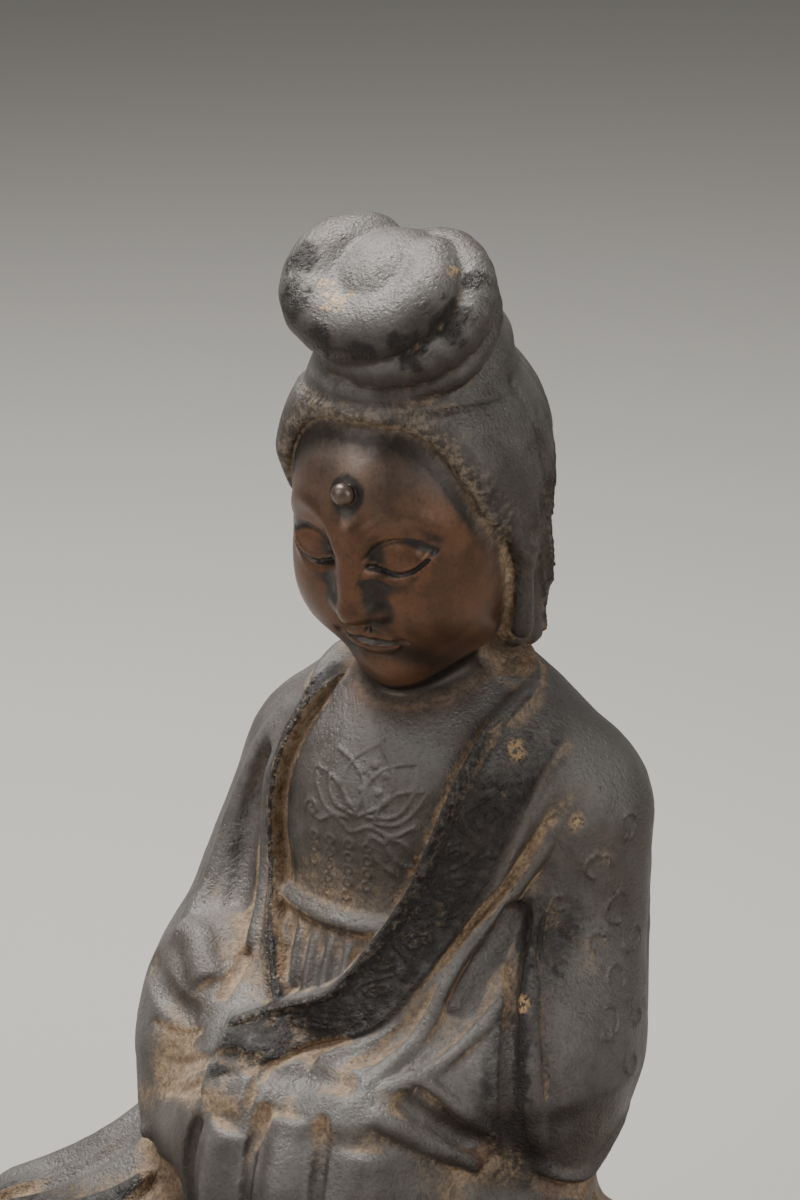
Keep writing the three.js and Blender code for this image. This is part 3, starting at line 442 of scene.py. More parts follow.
def face(x, y, z):
    side = np.abs(x)
    d = blend(egg(x, y - 4, z - 9, 25.5, 30, 29), egg(x, y + 7, z + 7, 22.5, 22.5, 30), 12)
    d = blend(d, egg(side - 9.5, y + 5, z + 19, 12, 16.5, 13.5), 8)
    d = blend(d, egg(x, y + 18.5, z + 30, 8.5, 8.5, 7.5), 9)
    d = blend(d, egg(side - 11, y + 17.5, z + 10, 10, 10.5, 12), 8)
    d = carve(d, egg(side - 10.5, y + 35, z - EYE - 2, 9.5, 7, 6), 5)
    d = blend(d, egg(side - 10.4, y + 21.6, z - EYE - 1.2, 7.4, 6.4, 5.4), 1.6)
    d = blend(d, limb(x, y, z, (0, -27.4, BROW - 1), (0, -32.4, NOSE_FOOT + 2.8), 2.8, 3.1), 5)
    d = blend(d, egg(x, y + 31.6, z - NOSE_FOOT - 2, 4, 3.8, 3.2), 2)
    d = blend(d, egg(side - 4.3, y + 28.6, z - NOSE_FOOT - 1.4, 2.9, 3.6, 2.8), 2)
    d = carve(d, egg(side - 2.2, y + 30.6, z - NOSE_FOOT + 1.6, 1.2, 1.8, 1), 0.8)
    return blend(d, egg(x, y + 27.2, z - BROW - 9, 2.7, 2.3, 2.7), 0.6)


def face_relief(x, y, z):
    """The lids, brows and lips, as heights over the smooth face, for points on its front."""
    side = np.abs(x)
    flat = np.zeros_like(x)
    lid, _ = along_path(side, flat, z, LID_EDGE)
    crease, _ = along_path(side, flat, z, LID_CREASE)
    brow, _ = along_path(side, flat, z, BROW_ARCH)
    above_lid, _ = along_path(side, flat, z - 1.2, LID_EDGE)
    below_lid, _ = along_path(side, flat, z + 2, LID_EDGE)
    height = -0.8 * swell(lid, 0.8) + 0.4 * swell(above_lid, 1.2) + 0.35 * swell(below_lid, 2.2)
    height += -0.45 * swell(crease, 1.3) + 0.4 * swell(brow, 2.4)
    # The lips: a full lower one, a bowed upper one, and the line between them
    t = np.clip(side / 6.8, 0, 1)
    round_end = np.sqrt(1 - t * t)
    lower = swell(z - MOUTH + 2.1 - 1.1 * t * t, 2.5 * round_end + 0.3) * round_end
    upper = swell(z - MOUTH - 1.5 + 1.1 * t * t - 0.5 * swell(side - 2, 2), 1.9 * round_end + 0.3) * round_end
    line = MOUTH - 0.35 * swell(side, 2.4) + 0.55 * t * t
    height += 1.25 * lower + 1 * upper - 0.55 * swell(z - line, 1.1) * ramp(7.5, 6, side)
    height += -0.5 * swell(np.hypot(side - 8.3, z - MOUTH - 0.8), 1.6)
    height += -0.8 * swell(np.hypot(side * 0.5, z - MOUTH + 5.6), 2.4)
    groove = swell(side, 1.5) * ramp(MOUTH + 2.4, MOUTH + 3.6, z) * ramp(NOSE_FOOT - 1, NOSE_FOOT - 2.4, z)
    return (height - 0.55 * groove) * ramp(-9, -13, y)


def hairline(x, y, z):
    """Positive outside the face, over the hair."""
    across = (np.abs(x / 24.5) ** 2.7 + np.abs((z + 8) / 39) ** 2.7) ** (1 / 2.7)
    return np.maximum((across - 1) * 25, y + 2 - 0.1 * z)


def hair(x, y, z):
    side = np.abs(x)
    s = hairline(x, y, z)
    d = egg(x, y - 5, z - 9, 28.5, 33.5, 31) - 1.6 * swell(s - 4.5, 5)
    d = blend(d, egg(x, y - 15, z + 9, 21, 15, 25), 10)
    d = carve(d, s, 2.4)
    d = blend(d, limb(side, y, z, (25.5, 2, 8), (24.5, 6, -20), 4, 3), 4)
    d = blend(d, limb(side, y, z, (23.5, 4, -8), (22, 0, -33), 4, 3.6), 4)
    d = blend(d, limb(side, y, z, (22, -3, -12), (21, -4, -31), 3.4, 3.4), 2)
    return blend(d, limb(side, y, z, (23, 11, 4), (20.5, 5, -34), 5, 3.4), 4)


def hair_relief(x, y, z):
    """Combed creases: behind the roll at the hairline, in a ring below the topknot and along the locks."""
    side = np.abs(x)
    s = hairline(x, y, z)
    roll = 1.3 * swell(s - 6, 5) * ramp(8, 18, z) * ramp(5, 10, side)
    sweep = roll - 1.1 * swell(s - 11.5, 2) * ramp(36, 28, z) * ramp(0, 8, z)
    ring = np.hypot(x, y - 9)
    sweep += -0.9 * swell(ring - 24.5, 1.4) * ramp(22, 28, z)
    lock = np.cos((y * 0.9 + side * 0.5) * 2.3) * ramp(8, 0, z) * ramp(0, 4, y) * ramp(-44, -34, z)
    combed = np.cos(np.arctan2(x, y - 9) * 34) * ramp(14, 20, y) * ramp(-30, -20, z)
    return sweep + 0.6 * lock + 0.2 * combed


def ears(x, y, z):
    side = np.abs(x)
    d = egg(side - 27, y + 0.5, z + 2, 2.6, 6, 9.5)
    d = blend(d, limb(side, y, z, (27, -2, -8), (25, -6, -27), 2.3, 2.7), 3)
    return carve(d, egg(side - 30, y + 1, z + 2, 2.2, 3.4, 6), 1)


KNOT_LOOP = smooth_curve(
    [(-10, 15, 54), (-15, 9, 55), (-15, 0, 51), (-5, -5, 48), (6, -4, 49.5), (12, 3, 53.5), (9, 10, 55)], 16
)
KNOT_WRAP = smooth_curve(
    [(0, 17, 52.5), (9, 18, 54), (17, 12, 53), (20, 4, 48.5), (15, -5, 43.5), (4, -9, 40.5), (-8, -6, 41)], 16
)
KNOT_BAND = smooth_curve(
    [(4, 22, 46), (14, 18, 47), (20.5, 9, 43.5), (19, -1, 39), (9, -9, 36.5), (-4, -11, 36)], 16
)


def strand(x, y, z, points, start_radius, end_radius, spread):
    d = np.full(x.shape, 1e3, x.dtype)
    last = len(points) - 1
    for i in range(last):
        near = start_radius + i / last * (end_radius - start_radius)
        far = start_radius + (i + 1) / last * (end_radius - start_radius)
        d = blend(d, limb(x, y, z, points[i], points[i + 1], near, far), spread)
    return d


def topknot(x, y, z):
    foot = limb(x, y, z, (0, 9, 33), (0, 8, 45), 23, 18)
    filling = egg(x + 2, y - 4, z - 50.5, 12, 10, 8)
    loop = blend(strand(x, y, z, KNOT_LOOP, 9, 7.4, 1), filling, 5)
    wrap = strand(x, y, z, KNOT_WRAP, 6.2, 4.2, 1)
    band = strand(x, y, z, KNOT_BAND, 4.4, 3, 1)
    return blend(blend(blend(foot, band, 1), wrap, 0.8), loop, 0.6)


def head_place(x, y, z):
    cos, sin = math.cos(HEAD_BOW), math.sin(HEAD_BOW)
    dy, dz = y - HEAD_CENTRE[1], z - HEAD_CENTRE[2]
    return x - HEAD_CENTRE[0], dy * cos + dz * sin, dz * cos - dy * sin


def head(x, y, z, fine=False):
    hx, hy, hz = head_place(x, y, z)
    front, locks = face(hx, hy, hz), hair(hx, hy, hz)
    if fine:
        front = front - face_relief(hx, hy, hz)
        locks = locks - hair_relief(hx, hy, hz)
    d = blend(front, ears(hx, hy, hz), 1.5)
    d = blend(d, locks, 0.5 if fine else 0.8)
    return blend(d, topknot(hx, hy, hz), 1.4)


def base(x, y, z):
    half_width = KNEE_REACH + BASE_MARGIN
    half_depth = (HIP_REACH - SHIN_REACH) / 2 + BASE_MARGIN
    oy = y + SEAT[1]
    far = np.hypot(x / half_width, oy / half_depth)
    steep = np.hypot(x / half_width**2, oy / half_depth**2)
    plan = far * (far - 1) / np.maximum(steep, 1e-6)
    up = z + BASE_HEIGHT
    foot = ramp(BASE_EDGE + 1.6, BASE_EDGE - 0.6, up) * (BASE_FOOT_LIP + BASE_WAIST)
    rim = ramp(BASE_HEIGHT - BASE_EDGE - 1.2, BASE_HEIGHT - BASE_EDGE + 0.4, up) * BASE_WAIST
    edge = ramp(BASE_HEIGHT - 1.4, BASE_HEIGHT, up) * 0.8
    wall = plan - (foot + rim - BASE_WAIST - edge)
    return np.maximum(np.maximum(wall, z), -BASE_HEIGHT - z)


FOLDS = make_folds()


def make_fine_folds():
    """Narrower lines on the cloth, which only the finished surface has."""
    rows = [
        # The inner line of the band along the left sleeve's opening
        ([(39, -9, 116), (42, -18, 103), (46, -24, 90), (48, -26, 78), (47, -27, 66)], 1.1, -0.8),
        # Creases in the flat cloth over the left forearm and in the pocket beside it
        ([(24, -45, 81), (29, -40, 84), (34, -34, 88), (37, -28, 93)], 1.2, 0.7),
        ([(29, -30, 94), (33, -24, 99), (36, -20, 103)], 1, 0.7),
        # The deepest line of the crease over the left wrist, and the edge above it
        ([(24, -45, 79), (29, -41, 73), (33, -36, 66), (38, -29, 58)], 1.5, -1.6),
        ([(25, -44, 82), (30, -40, 76), (35, -34, 69), (39, -29, 62)], 1.3, 0.8),
        # Fine creases over the right forearm
        ([(-36, -38, 62), (-28, -45, 68), (-20, -49, 74)], 1, -0.6),
        ([(-38, -34, 54), (-28, -47, 61), (-18, -52, 68)], 1, -0.6),
        ([(-46, -30, 72), (-38, -38, 74), (-30, -42, 78)], 1.2, -0.5),
    ]
    return [Fold(settle(points), half_width, height) for points, half_width, height in rows]


def petal(foot, tip, bulge):
    """The two sides of a pointed petal."""
    foot, tip = np.array(foot, float), np.array(tip, float)
    along = tip - foot
    out = np.array([-along[1], along[0]]) * bulge
    sides = []
    for way in (1, -1):
        middle = [foot, foot + along * 0.3 + way * out, foot + along * 0.68 + way * out * 0.85, tip]
        sides.append(smooth_curve([(a, b, 0) for a, b in middle], 12)[:, :2])
    return sides


def lotus_lines():
    """A lotus on its leaves, with strings of bead rings that hang from it."""
    lines = petal((0, -4), (2, 13), 0.36)
    lines += petal((-1, -4), (-9, 10), 0.28) + petal((2, -4), (12, 10), 0.28)
    lines += petal((-3, -5), (-14.5, 5), 0.2) + petal((4, -5), (15, 4), 0.2)
    lines += petal((7, -8), (13.5, -14), 0.24) + petal((3, -8), (9, -16), 0.2)
    wave = [(-15, -5, 0), (-11, -7, 0), (-7, -5, 0), (-2, -8, 0), (3, -6, 0), (8, -7.5, 0), (13, -4.5, 0)]
    lines += [smooth_curve(wave, 26)[:, :2], spiral((-14, -5), 2.4, 200, -1.2)]
    for a, b in ((-1, 6), (2, 8), (5, 6), (0, 2), (4, 2)):
        lines.append(arc((a, b), 0.5, 0, 360, 7))
    for string, count in ((-13, 3), (-8, 5), (-2.5, 5), (2.5, 4)):
        for n in range(count):
            lines.append(arc((string - 0.12 * n, -11 - 3 * n), 1.05, 0, 360, 11))
    return lines


def cloud_lines(size, turn):
    """A worn cloud: one crescent, with a shorter one beside it."""
    beside = (size * 0.9 * math.cos(math.radians(turn)), size * 0.9 * math.sin(math.radians(turn)))
    return [arc((0, 0), size, turn + 60, turn + 230), arc(beside, size * 0.55, turn - 40, turn + 90, 7)]


def collar_vine():
    """A vine along the collar's band, drawn as a strip: along the band first, then across it."""
    vine = [[(a, 2.9 * math.sin(a * 2 * math.pi / 19)) for a in np.arange(0, 122, 1.2)]]
    for n in range(12):
        way = 1 if n % 2 == 0 else -1
        middle = 4.75 + 9.5 * n
        vine.append(spiral((middle, -way * 1.4), 2.7, 90 + 90 * way, way * 1.2))
        vine.append(arc((middle + 3.2, way * 4.6), 1.7, 150, 330, 7))
    return [np.array(line) for line in vine]


COLLAR_VINE = collar_vine()


def flat_distance(a, b, lines):
    """Distance to the nearest of some flat lines, near them."""
    nearest = np.full(a.shape, 1e3)
    for line in lines:
        for p, q in zip(line[:-1], line[1:]):
            near = (a > min(p[0], q[0]) - 2) & (a < max(p[0], q[0]) + 2)
            if not near.any():
                continue
            d = q - p
            t = np.clip(((a[near] - p[0]) * d[0] + (b[near] - p[1]) * d[1]) / max(d @ d, 1e-9), 0, 1)
            away = np.hypot(a[near] - p[0] - t * d[0], b[near] - p[1] - t * d[1])
            nearest[near] = np.minimum(nearest[near], away)
    return nearest


def collar_place(x, z):
    """Where a point is on the collar: along its band from the neck, and across it from its middle."""
    down = (NECKLINE_TOP - z) / (NECKLINE_TOP - NECKLINE_END)
    along = (NECKLINE_TOP - z) * (1.05 + 0.32 * np.clip(down, 0, 1.2) ** 2)
    return along, left_front(x, z) - COLLAR_WIDTH / 2


def on_collar(x, y, z):
    """1 on the collar's band, fading at its edges."""
    a, b = collar_place(x, z)
    wide = ramp(COLLAR_WIDTH / 2 + 0.4, COLLAR_WIDTH / 2 - 1.6, np.abs(b))
    return wide * ramp(4, 34, a) * (y < 4) * ramp(71, 75, z) * ramp(-26, -22, x)


def collar_relief(x, y, z):
    """A bead along the collar's edge with a groove beside it, and the vine on its band."""
    a, b = collar_place(x, z)
    band = on_collar(x, y, z)
    bead = 0.55 * swell(b + COLLAR_WIDTH / 2 - 1.5, 1.1) - 0.5 * swell(b + COLLAR_WIDTH / 2 - 3.2, 0.9)
    height = bead * (y < 4) * ramp(66, 70, z) * ramp(-25, -21, x)
    near = band > 0.01
    if near.any():
        away = flat_distance(a[near], b[near], COLLAR_VINE)
        faint = 0.6 + 0.4 * lattice_noise(x[near], y[near], z[near], 6, 21)
        height[near] += 0.6 * swell(away, 1) * band[near] * faint
    return height


def right_edge_relief(x, y, z):
    """The right front's edge is a narrow band between two lines."""
    s = right_front(x, z)
    shown = (x < 0) & (y < 4) & (z > 84) & (z < 158)
    return (-0.7 * swell(s - 3.4, 0.9) + 0.4 * swell(s - 1.6, 1.1)) * shown


def make_drawings():
    drawings = [Drawing((0, -25, 135), lotus_lines(), 0.75, 0.36, 30)]
    clouds = (
        ((48, -2, 120), 2.6, 20), ((45, -9, 107), 1.7, 150), ((51, 2, 109), 3, 60),
        ((53, 7, 101), 2.8, 200), ((54, -2, 95), 2.6, 320), ((56, -8, 87), 3.2, 230),
        ((42, -9, 112), 1.4, 90), ((45, -14, 99), 1.5, 40), ((55, 4, 84), 2.6, 120),
        ((49, 8, 128), 2.4, 260), ((49, -4, 103), 2, 10), ((54, -2, 74), 2.4, 170),
    )
    for centre, size, turn in clouds:
        drawings.append(Drawing(centre, cloud_lines(size, turn), 0.7, 0.45, 8))
    return drawings


FINE_FOLDS = make_fine_folds()
DRAWINGS = make_drawings()


def figure(x, y, z, fine=False):
    d = body(x, y, z)
    near = np.abs(d) < 14
    d = np.where(near, d, d - CLOTH)
    if near.any():
        nx, ny, nz = x[near], y[near], z[near]
        cloth = robe(nx, ny, nz, 0.6 if fine else 1.0) + underskirt(nx, ny, nz)
        for fold in FOLDS:
            fold.add_to(cloth, nx, ny, nz)
        if fine:
            for line in FINE_FOLDS + DRAWINGS:
                line.add_to(cloth, nx, ny, nz)
            cloth += collar_relief(nx, ny, nz) + right_edge_relief(nx, ny, nz)
            for ring in NECK_RINGS:
                cloth -= 0.5 * swell(nz - ring + 0.3 * ny, 1.4) * (np.hypot(nx, ny) < 22)
        d[near] -= cloth
    up = z > NAPE - 14
    if up.any():
        d[up] = blend(d[up], head(x[up], y[up], z[up], fine), 2.5)
    return d


def casting(x, y, z, fine=False):
    d = np.maximum(figure(x, y, z, fine), -3 - z)
    return np.minimum(blend(d, base(x, y, z), 1.6), base(x, y, z))


# Turning the forms into a mesh


def near_grid(spacing):
    """Distances on a grid of points, worked out only near the surface."""
    low = np.array([-KNEE_REACH - 10, SHIN_REACH - 10, -BASE_HEIGHT - 2.5 * spacing])
    high = np.array([KNEE_REACH + 10, HIP_REACH + 10, FIGURE_TOP + 4])
    block = 4
    blocks = np.ceil((high - low) / spacing / block).astype(int)
    shape = blocks * block
    centres = [low[n] + (np.arange(blocks[n]) + 0.5) * block * spacing - spacing / 2 for n in range(3)]
    cx, cy, cz = (a.ravel().astype(np.float32) for a in np.meshgrid(*centres, indexing="ij"))
    middle = casting(cx, cy, cz)
    near = np.abs(middle) < block * spacing * 0.87 * 1.25 + 1.5
    values = np.repeat(np.repeat(np.repeat(middle.reshape(blocks), block, 0), block, 1), block, 2)
    mask = np.repeat(np.repeat(np.repeat(near.reshape(blocks), block, 0), block, 1), block, 2)
    index = np.flatnonzero(mask)
    i, j, k = np.unravel_index(index, shape)
    flat = values.reshape(-1)
    step = 400000
    for start in range(0, len(index), step):
        part = slice(start, start + step)
        x = (low[0] + i[part] * spacing).astype(np.float32)
        y = (low[1] + j[part] * spacing).astype(np.float32)
        z = (low[2] + k[part] * spacing).astype(np.float32)
        flat[index[part]] = casting(x, y, z)
    return values, low


def skin(values, low, spacing):
    """One corner in each box of the grid that the surface crosses, and a face for each crossed edge."""
    inside = values < 0
    boxes = [n - 1 for n in values.shape]

    def corner(i, j, k, array):
        return array[i : i + boxes[0], j : j + boxes[1], k : k + boxes[2]]

    count = sum(corner(i, j, k, inside).astype(np.int8) for i in (0, 1) for j in (0, 1) for k in (0, 1))
    crossed = (count > 0) & (count < 8)
    number = np.full(boxes, -1, np.int32)
    number[crossed] = np.arange(crossed.sum())
    at = np.argwhere(crossed)
    total = np.zeros((len(at), 3))
    hits = np.zeros(len(at))
    corners = [(i, j, k) for i in (0, 1) for j in (0, 1) for k in (0, 1)]
    for a in corners:
        for axis in range(3):
            if a[axis]:
                continue
            b = tuple(1 if n == axis else a[n] for n in range(3))
            va = values[at[:, 0] + a[0], at[:, 1] + a[1], at[:, 2] + a[2]]
            vb = values[at[:, 0] + b[0], at[:, 1] + b[1], at[:, 2] + b[2]]
            cut = (va < 0) != (vb < 0)
            t = np.where(cut, va / np.where(cut, va - vb, 1), 0)
            for n in range(3):
                total[:, n] += np.where(cut, a[n] + (t if n == axis else 0), 0)
            hits += cut
    points = low + (at + total / hits[:, None]) * spacing
    quads = []
    for axis in range(3):
        u, v = [n for n in range(3) if n != axis]
        first = [slice(1, n - 1) for n in values.shape]
        second = list(first)
        first[axis] = slice(0, values.shape[axis] - 1)
        second[axis] = slice(1, values.shape[axis])
        cut = inside[tuple(first)] != inside[tuple(second)]
        e = np.argwhere(cut)
        start = [1, 1, 1]
        start[axis] = 0
        e += start
        solid = inside[e[:, 0], e[:, 1], e[:, 2]]
        ring = []
        for du, dv in ((1, 1), (0, 1), (0, 0), (1, 0)):
            c = e.copy()
            c[:, u] -= du
            c[:, v] -= dv
            ring.append(number[c[:, 0], c[:, 1], c[:, 2]])
        q = np.stack(ring, 1)
        turned = solid if axis != 1 else ~solid
        quads.append(np.where(turned[:, None], q, q[:, ::-1]))
    return points, np.concatenate(quads)


def slope_at(p, form, step=0.25):
    x, y, z = p.T.astype(np.float32)
    g = np.stack(
        [
            form(x + step, y, z) - form(x - step, y, z),
            form(x, y + step, z) - form(x, y - step, z),
            form(x, y, z + step) - form(x, y, z - step),
        ],
        1,
    ) / (2 * step)
    return g


def onto_surface(p, form, rounds=2, most=0.6):
    """Moves points along the slope of the form until they lie on its surface."""
    for _ in range(rounds):
        x, y, z = p.T.astype(np.float32)
        g = slope_at(p, form)
        size = np.maximum((g**2).sum(1), 0.25)
        way = np.clip(-form(x, y, z) / size, -most, most)
        p = p + g * way[:, None]
    return p


def split(points, triangles, wanted):
    """Halves every edge whose middle is in a wanted place, and parts the triangles beside it to match."""
    corners = triangles[:, [0, 1, 1, 2, 2, 0]].reshape(-1, 2)
    low, high = corners.min(1).astype(np.int64), corners.max(1).astype(np.int64)
    keys, which = np.unique(low * len(points) + high, return_inverse=True)
    a, b = keys // len(points), keys % len(points)
    middles = (points[a] + points[b]) / 2
    cut = wanted(middles)
    number = np.full(len(keys), -1)
    number[cut] = len(points) + np.arange(cut.sum())
    points = np.vstack([points, middles[cut]])
    m = number[which.reshape(-1, 3)]
    parts = []
    for first in range(3):
        order = [first, (first + 1) % 3, (first + 2) % 3]
        p, q, r = (triangles[:, n] for n in order)
        pq, qr, rp = (m[:, n] for n in order)
        one = (pq >= 0) & (qr < 0) & (rp < 0)
        parts += [np.stack([p, pq, r], 1)[one], np.stack([pq, q, r], 1)[one]]
        two = (pq >= 0) & (qr >= 0) & (rp < 0)
        parts += [np.stack([pq, q, qr], 1)[two], np.stack([p, pq, qr], 1)[two], np.stack([p, qr, r], 1)[two]]
    p, q, r = triangles.T
    pq, qr, rp = m.T
    every = (m >= 0).all(1)
    none = (m < 0).all(1)
    for t in ((p, pq, rp), (pq, q, qr), (rp, qr, r), (pq, qr, rp)):
        parts.append(np.stack(t, 1)[every])
    parts.append(triangles[none])
    return points, np.concatenate(parts)


def object_from(name, points, faces):
    mesh = bpy.data.meshes.new(name)
    mesh.vertices.add(len(points))
    mesh.vertices.foreach_set("co", np.asarray(points, np.float32).ravel())
    faces = np.asarray(faces, np.int32)
    sides = faces.shape[1]
    mesh.loops.add(faces.size)
    mesh.loops.foreach_set("vertex_index", faces.ravel())
    mesh.polygons.add(len(faces))
    mesh.polygons.foreach_set("loop_start", np.arange(len(faces), dtype=np.int32) * sides)
    mesh.update(calc_edges=True)
    mesh.validate()
    piece = bpy.data.objects.new(name, mesh)
    bpy.context.scene.collection.objects.link(piece)
    return piece


def points_of(piece):
    p = np.empty(len(piece.data.vertices) * 3, np.float32)
    piece.data.vertices.foreach_get("co", p)
    return p.reshape(-1, 3).astype(float)


def fine_casting(x, y, z):
    return casting(x, y, z, True)


def uneven(p, normal):
    """The hand-worked surface waves a little."""
    swells = 0.16 * lattice_noise(*p.T, 7, 11) + 0.08 * lattice_noise(*p.T, 2.6, 12)
    hx, hy, hz = head_place(*p.T)
    calm = 1 - 0.8 * ramp(1, -1, hairline(hx, hy, hz)) * ramp(-6, -10, hy)
    return p + normal * (swells * calm * (p[:, 2] > 1))[:, None]


def make_figure():
    spacing = GRID
    values, low = near_grid(spacing)
    points, quads = skin(values, low, spacing)
    triangles = np.concatenate([quads[:, [0, 1, 2]], quads[:, [0, 2, 3]]])
    points = onto_surface(points, fine_casting, 1)
    points, triangles = split(points, triangles, finely_cut)
    points = onto_surface(points, fine_casting, 2)
    normal = slope_at(points, fine_casting)
    points = uneven(points, normal / np.maximum(np.linalg.norm(normal, axis=1), 0.1)[:, None])
    points[:, 2] = np.maximum(points[:, 2], -BASE_HEIGHT)
    piece = object_from("guanyin_bronze", (points + SEAT) * MM, triangles)
    thin_to(piece, TRIANGLES)
    return piece


def finely_cut(p):
    """The places with the finest work: the face, the chest with its collar, and the left sleeve."""
    x, y, z = p.T
    hx, hy, hz = head_place(x, y, z)
    on_face = (np.abs(hx) < 22) & (hy < -8) & (hz > -36) & (hz < 24)
    on_chest = (y < -4) & (z > 78) & (z < 156) & (x > -30) & (x < 38)
    on_sleeve = (x > 36) & (z > 64) & (z < 132) & (y < 16) & (y > -34)
    return on_face | on_chest | on_sleeve


def thin_to(piece, most):
    """Leaves out triangles, first where the surface is flat."""
    count = sum(len(p.vertices) - 2 for p in piece.data.polygons)
    if count <= most:
        return
    thinning = piece.modifiers.new("thinning", "DECIMATE")
    thinning.ratio = most / count
    thinned = bpy.data.meshes.new_from_object(piece.evaluated_get(bpy.context.evaluated_depsgraph_get()))
    piece.modifiers.clear()
    old = piece.data
    piece.data = thinned
    bpy.data.meshes.remove(old)


guanyin = make_figure()
for polygon in guanyin.data.polygons:
    polygon.use_smooth = True


# Where dust lies, where hands have worn the edges, where the casting is left rough, and where painted light
# and painted shade go


def openness(p, normal, reach):
    """How far the surface stays open at this distance: 1 on flat places and ridges, 0 in narrow creases."""
    q = p + normal * reach
    return np.clip(casting(*q.T.astype(np.float32), True) / reach, -0.5, 1)


def backing(p, normal, reach):
    """1 where the metal is thick behind the surface, less on ridges and edges."""
    q = p - normal * reach
    return np.clip(-casting(*q.T.astype(np.float32), True) / reach, -0.5, 1)


def spots(p, places):
    """Round marks at given places, with ragged edges."""
    ragged = 1 + 0.5 * lattice_noise(*p.T, 1.4, 31)
    total = np.zeros(len(p))
    for centre, radius in places:
        away = np.sqrt(((p - centre) ** 2).sum(1))
        total = np.maximum(total, ramp(radius * 1.15, radius * 0.7, away * ragged))
    return total


def mark(piece, name, values):
    layer = piece.data.attributes.new(name, "FLOAT", "POINT")
    layer.data.foreach_set("value", np.clip(values, 0, 1).astype(np.float32))


# Blots of black at the foot and the right end of the topknot's front lobe, with their radius
KNOT_BLOTS = (
    ((-17, -26, 248), 5), ((-18, -20, 257), 4), ((-8, -30, 241), 4), ((3, -30, 240), 3.4),
    ((13, -26, 241), 4.6), ((19, -20, 246), 5), ((21, -12, 254), 3),
)
# Reddish spots on the left sleeve, and flecks of old gilding on the sleeve, the shoulder and the topknot
RUST_SPOTS = (((35, -34, 59), 3), ((46, -21, 47), 3.2))
GILDING = (
    ((44, -4, 131), 1.6), ((41, -25, 94), 1.8), ((45, -9, 113), 1.3), ((30, -8, 147), 2.6),
    ((-5, -26, 249), 2.6), ((-9, -24, 252), 1.8), ((18, -15, 256), 1.6),
)
# Where dust has drifted: over the right forearm and on the lap behind the pleats, with its reach
DUST_DRIFTS = (
    ((-38, -38, 68), 15), ((-28, -48, 66), 13), ((-18, -54, 70), 10),
    ((20, -50, 74), 8), ((-46, -34, 56), 10),
)
# The middle of the dark band along the left sleeve's opening
SLEEVE_BAND = smooth_curve(
    settle([(35, -12, 112), (38, -18, 102), (41, -26, 92), (44, -30, 80), (46, -28, 62), (46, -24, 55)]), 40
)


def mark_surface(piece):
    """Writes the marks that the material reads, from 0 to 1 at each corner of the mesh."""
    p = points_of(piece) / MM - SEAT
    normal = np.empty(len(p) * 3, np.float32)
    piece.data.vertices.foreach_get("normal", normal)
    normal = normal.reshape(-1, 3).astype(float)
    x, y, z = p.T
    hx, hy, hz = head_place(x, y, z)
    beside_face = hairline(hx, hy, hz)
    wide, middle, narrow = (1 - openness(p, normal, reach) for reach in (9, 3.5, 1.2))

    # Parts of the figure that are told apart
    collar = on_collar(x, y, z)
    steep_lap = ramp(-46, -54, y) * ramp(70, 62, z) * ramp(0.6, 0.2, normal[:, 2])
    on_hair = ramp(-36, -30, hz) * ramp(-0.5, 1, beside_face)
    front = ramp(34, 38, x) * ramp(50, 43, x) * ramp(122, 104, z) * ramp(46, 54, z) * ramp(4, -6, y)
    on_sleeve = ramp(40, 44, x) * ramp(126, 118, z) * ramp(44, 50, z)
    bare_face = ramp(1.2, -1.2, beside_face) * ramp(-6, -10, hy) * ramp(-42, -36, hz)
    lap_front = ramp(-30, -44, y) * ramp(56, 40, z)
    lip = right_front(x, z)
    right_edge = ramp(-0.6, 0.4, lip) * ramp(5, 3.6, lip) * (x < 0) * (y < 4) * (z > 84) * (z < 156)

    dusty = (1 - 0.75 * steep_lap) * (1 - 0.85 * on_hair) * (1 - 0.85 * collar)
    dusty *= (1 - 0.6 * front) * (1 - 0.5 * on_sleeve)
    drift = np.zeros(len(p))
    for centre, reach in DUST_DRIFTS:
        drift = np.maximum(drift, ramp(reach, 0.3 * reach, np.sqrt(((p - centre) ** 2).sum(1))))
    mark(piece, "hollow", (0.8 * wide + 1.1 * middle + 0.55 * drift) * dusty)
    sleeve_band = spots(p, [(place, 2.4) for place in SLEEVE_BAND])
    # Painted shade: the hollows of the steep lap front and of the hair are coloured dark. The dark mark holds
    # this painted shade together with the real dark band along the left sleeve's opening.
    shadowed = (1.1 * middle + 0.7 * wide) * np.maximum(steep_lap, 0.5 * on_hair)
    mark(piece, "dark", np.maximum(shadowed, 0.75 * sleeve_band))
    # crease carries dust in the creases and, on the face, painted shade
    mark(piece, "crease", 2.2 * narrow + 1.3 * middle)
    mark(piece, "edge", 1.3 * (1 - backing(p, normal, 1.6)) + 0.8 * (1 - backing(p, normal, 4)))
    # upward carries painted light: the material colours upward faces greyer and downward faces browner
    mark(piece, "upward", 0.5 + 0.5 * normal[:, 2])
    mark(piece, "face", bare_face)
    # brow places the painted sheen on the upper forehead
    mark(piece, "brow", ramp(8, 24, hz) * bare_face)
    knot = spots(p, KNOT_BLOTS)
    mark(piece, "rough", np.maximum.reduce([collar, 0.7 * front, 0.8 * lap_front, 0.9 * right_edge, knot]))
    mark(piece, "rust", spots(p, RUST_SPOTS))
    mark(piece, "gold", spots(p, GILDING))


mark_surface(guanyin)


# Materials


def colour(code):
    """A colour written in hex, as the linear values the shader works with."""
    channels = [int(code[n : n + 2], 16) / 255 for n in (1, 3, 5)]
    return [c / 12.92 if c <= 0.04045 else ((c + 0.055) / 1.055) ** 2.4 for c in channels] + [1]


